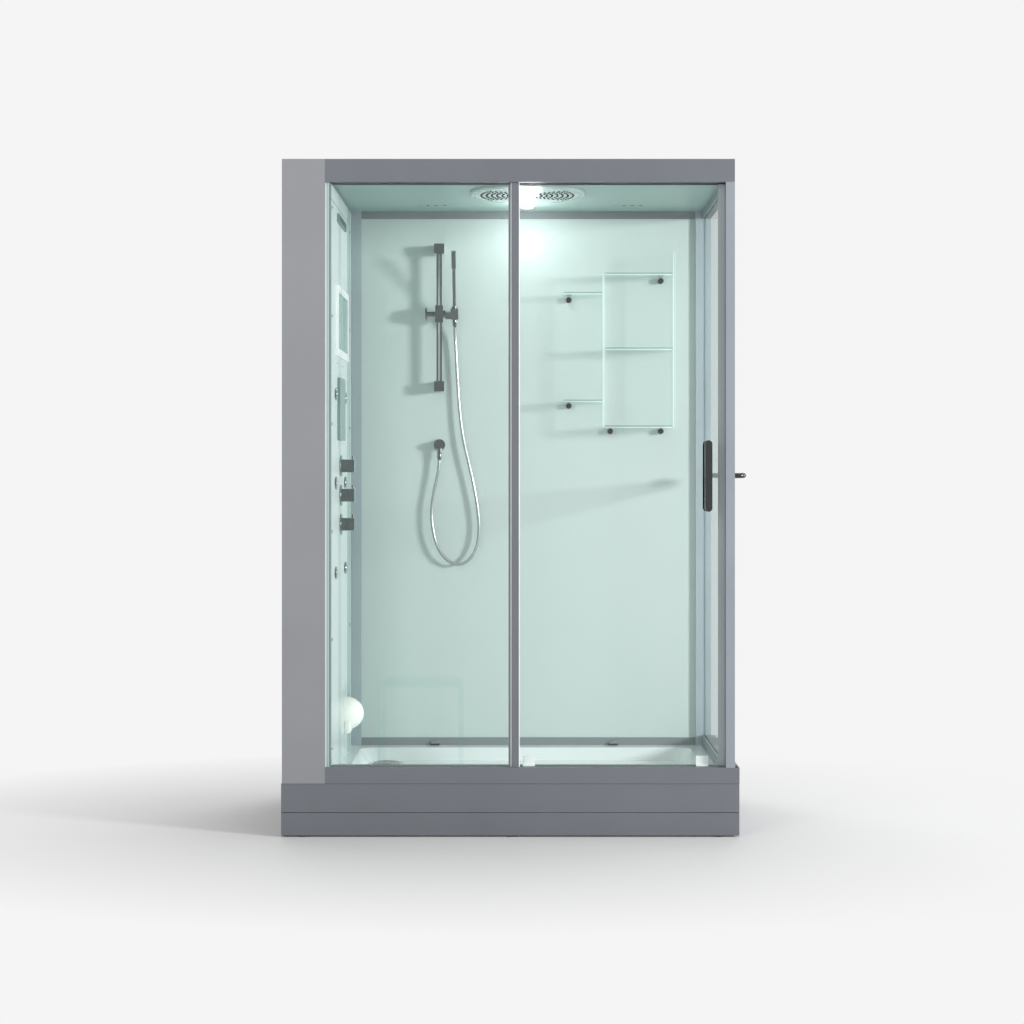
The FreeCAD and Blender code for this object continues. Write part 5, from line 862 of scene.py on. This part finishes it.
def area_light(name, spot, aim, size, power):
    data = bpy.data.lights.new(name, "AREA")
    data.shape = "RECTANGLE"
    data.size, data.size_y = size
    data.energy = power
    lamp = bpy.data.objects.new(name, data)
    lamp.location = spot
    lamp.rotation_euler = (Vector(aim) - Vector(spot)).to_track_quat("-Z", "Y").to_euler()
    SCENE.collection.objects.link(lamp)


def ceiling_glow():
    """The light that the ceiling lamp throws on the back wall."""
    data = bpy.data.lights.new("ceiling_glow", "POINT")
    data.energy = GLOW_WATTS
    data.shadow_soft_size = GLOW_SIZE
    glow = bpy.data.objects.new("ceiling_glow", data)
    glow.location = LAMP + GLOW_DROP
    SCENE.collection.objects.link(glow)


def background():
    """A world that cameras, mirrors and glass see as near white, and that lights the object less."""
    world = bpy.data.worlds.new("studio")
    world.use_nodes = True
    tree = world.node_tree
    shade = tree.nodes["Background"]
    shade.inputs["Color"].default_value = (1, 1, 1, 1)
    path = tree.nodes.new("ShaderNodeLightPath")
    seen = path.outputs["Is Camera Ray"]
    for ray in ("Is Glossy Ray", "Is Transmission Ray"):
        larger = tree.nodes.new("ShaderNodeMath")
        larger.operation = "MAXIMUM"
        tree.links.new(seen, larger.inputs[0])
        tree.links.new(path.outputs[ray], larger.inputs[1])
        seen = larger.outputs[0]
    level = tree.nodes.new("ShaderNodeMapRange")
    level.inputs["To Min"].default_value = WORLD_LIGHT
    level.inputs["To Max"].default_value = BACKGROUND
    tree.links.new(seen, level.inputs["Value"])
    tree.links.new(level.outputs[0], shade.inputs["Strength"])
    SCENE.world = world


def floor_finish():
    """A diffuse floor near the cabin, which passes into the plain background further out."""
    nodes = Nodes("floor_finish")
    apart = nodes.add("SeparateXYZ", Vector=nodes.place)
    across = nodes.reckon("MULTIPLY", apart.outputs[0], SHADOW_SQUEEZE)
    along = nodes.reckon("ADD", apart.outputs[1], -SHADOW_MIDDLE_Y)
    squares = [nodes.reckon("MULTIPLY", side, side) for side in (across, along)]
    distance = nodes.reckon("SQRT", nodes.reckon("ADD", *squares))
    share = nodes.ramp(distance, SHADOW_FADE, (0, 1))
    lit = nodes.add("BsdfDiffuse", Color=(FLOOR_TONE, FLOOR_TONE, FLOOR_TONE, 1))
    plain = nodes.add("Emission", Color=(BACKGROUND, BACKGROUND, BACKGROUND, 1))
    path = nodes.add("LightPath")
    seen = path.outputs["Is Camera Ray"]
    for ray in ("Is Glossy Ray", "Is Transmission Ray"):
        seen = nodes.reckon("MAXIMUM", seen, path.outputs[ray])
    return nodes.finish(nodes.shaders(nodes.reckon("MULTIPLY", share, seen), lit, plain))


def floor():
    """A pale floor that keeps the shadow near the cabin and fades into the background."""
    mesh = bpy.data.meshes.new("floor")
    form = bmesh.new()
    bmesh.ops.create_grid(form, x_segments=1, y_segments=1, size=FLOOR_SIZE)
    form.to_mesh(mesh)
    form.free()
    piece = bpy.data.objects.new("floor", mesh)
    SCENE.collection.objects.link(piece)
    mesh.materials.append(floor_finish())


def camera():
    """The photograph's view: level, from in front of the cabin's middle."""
    data = bpy.data.cameras.new("camera")
    data.sensor_width = CAMERA_SENSOR
    data.lens = CAMERA_LENS
    data.shift_x, data.shift_y = CAMERA_SHIFT
    view = bpy.data.objects.new("camera", data)
    view.location = CAMERA_SPOT
    view.rotation_euler = (math.radians(90), 0, 0)
    SCENE.collection.objects.link(view)
    SCENE.camera = view


background()
floor()
camera()
for light in AREA_LIGHTS:
    area_light(*light)
ceiling_glow()
SCENE.view_settings.view_transform = "Standard"
SCENE.cycles.transparent_max_bounces = CLEAR_BOUNCES
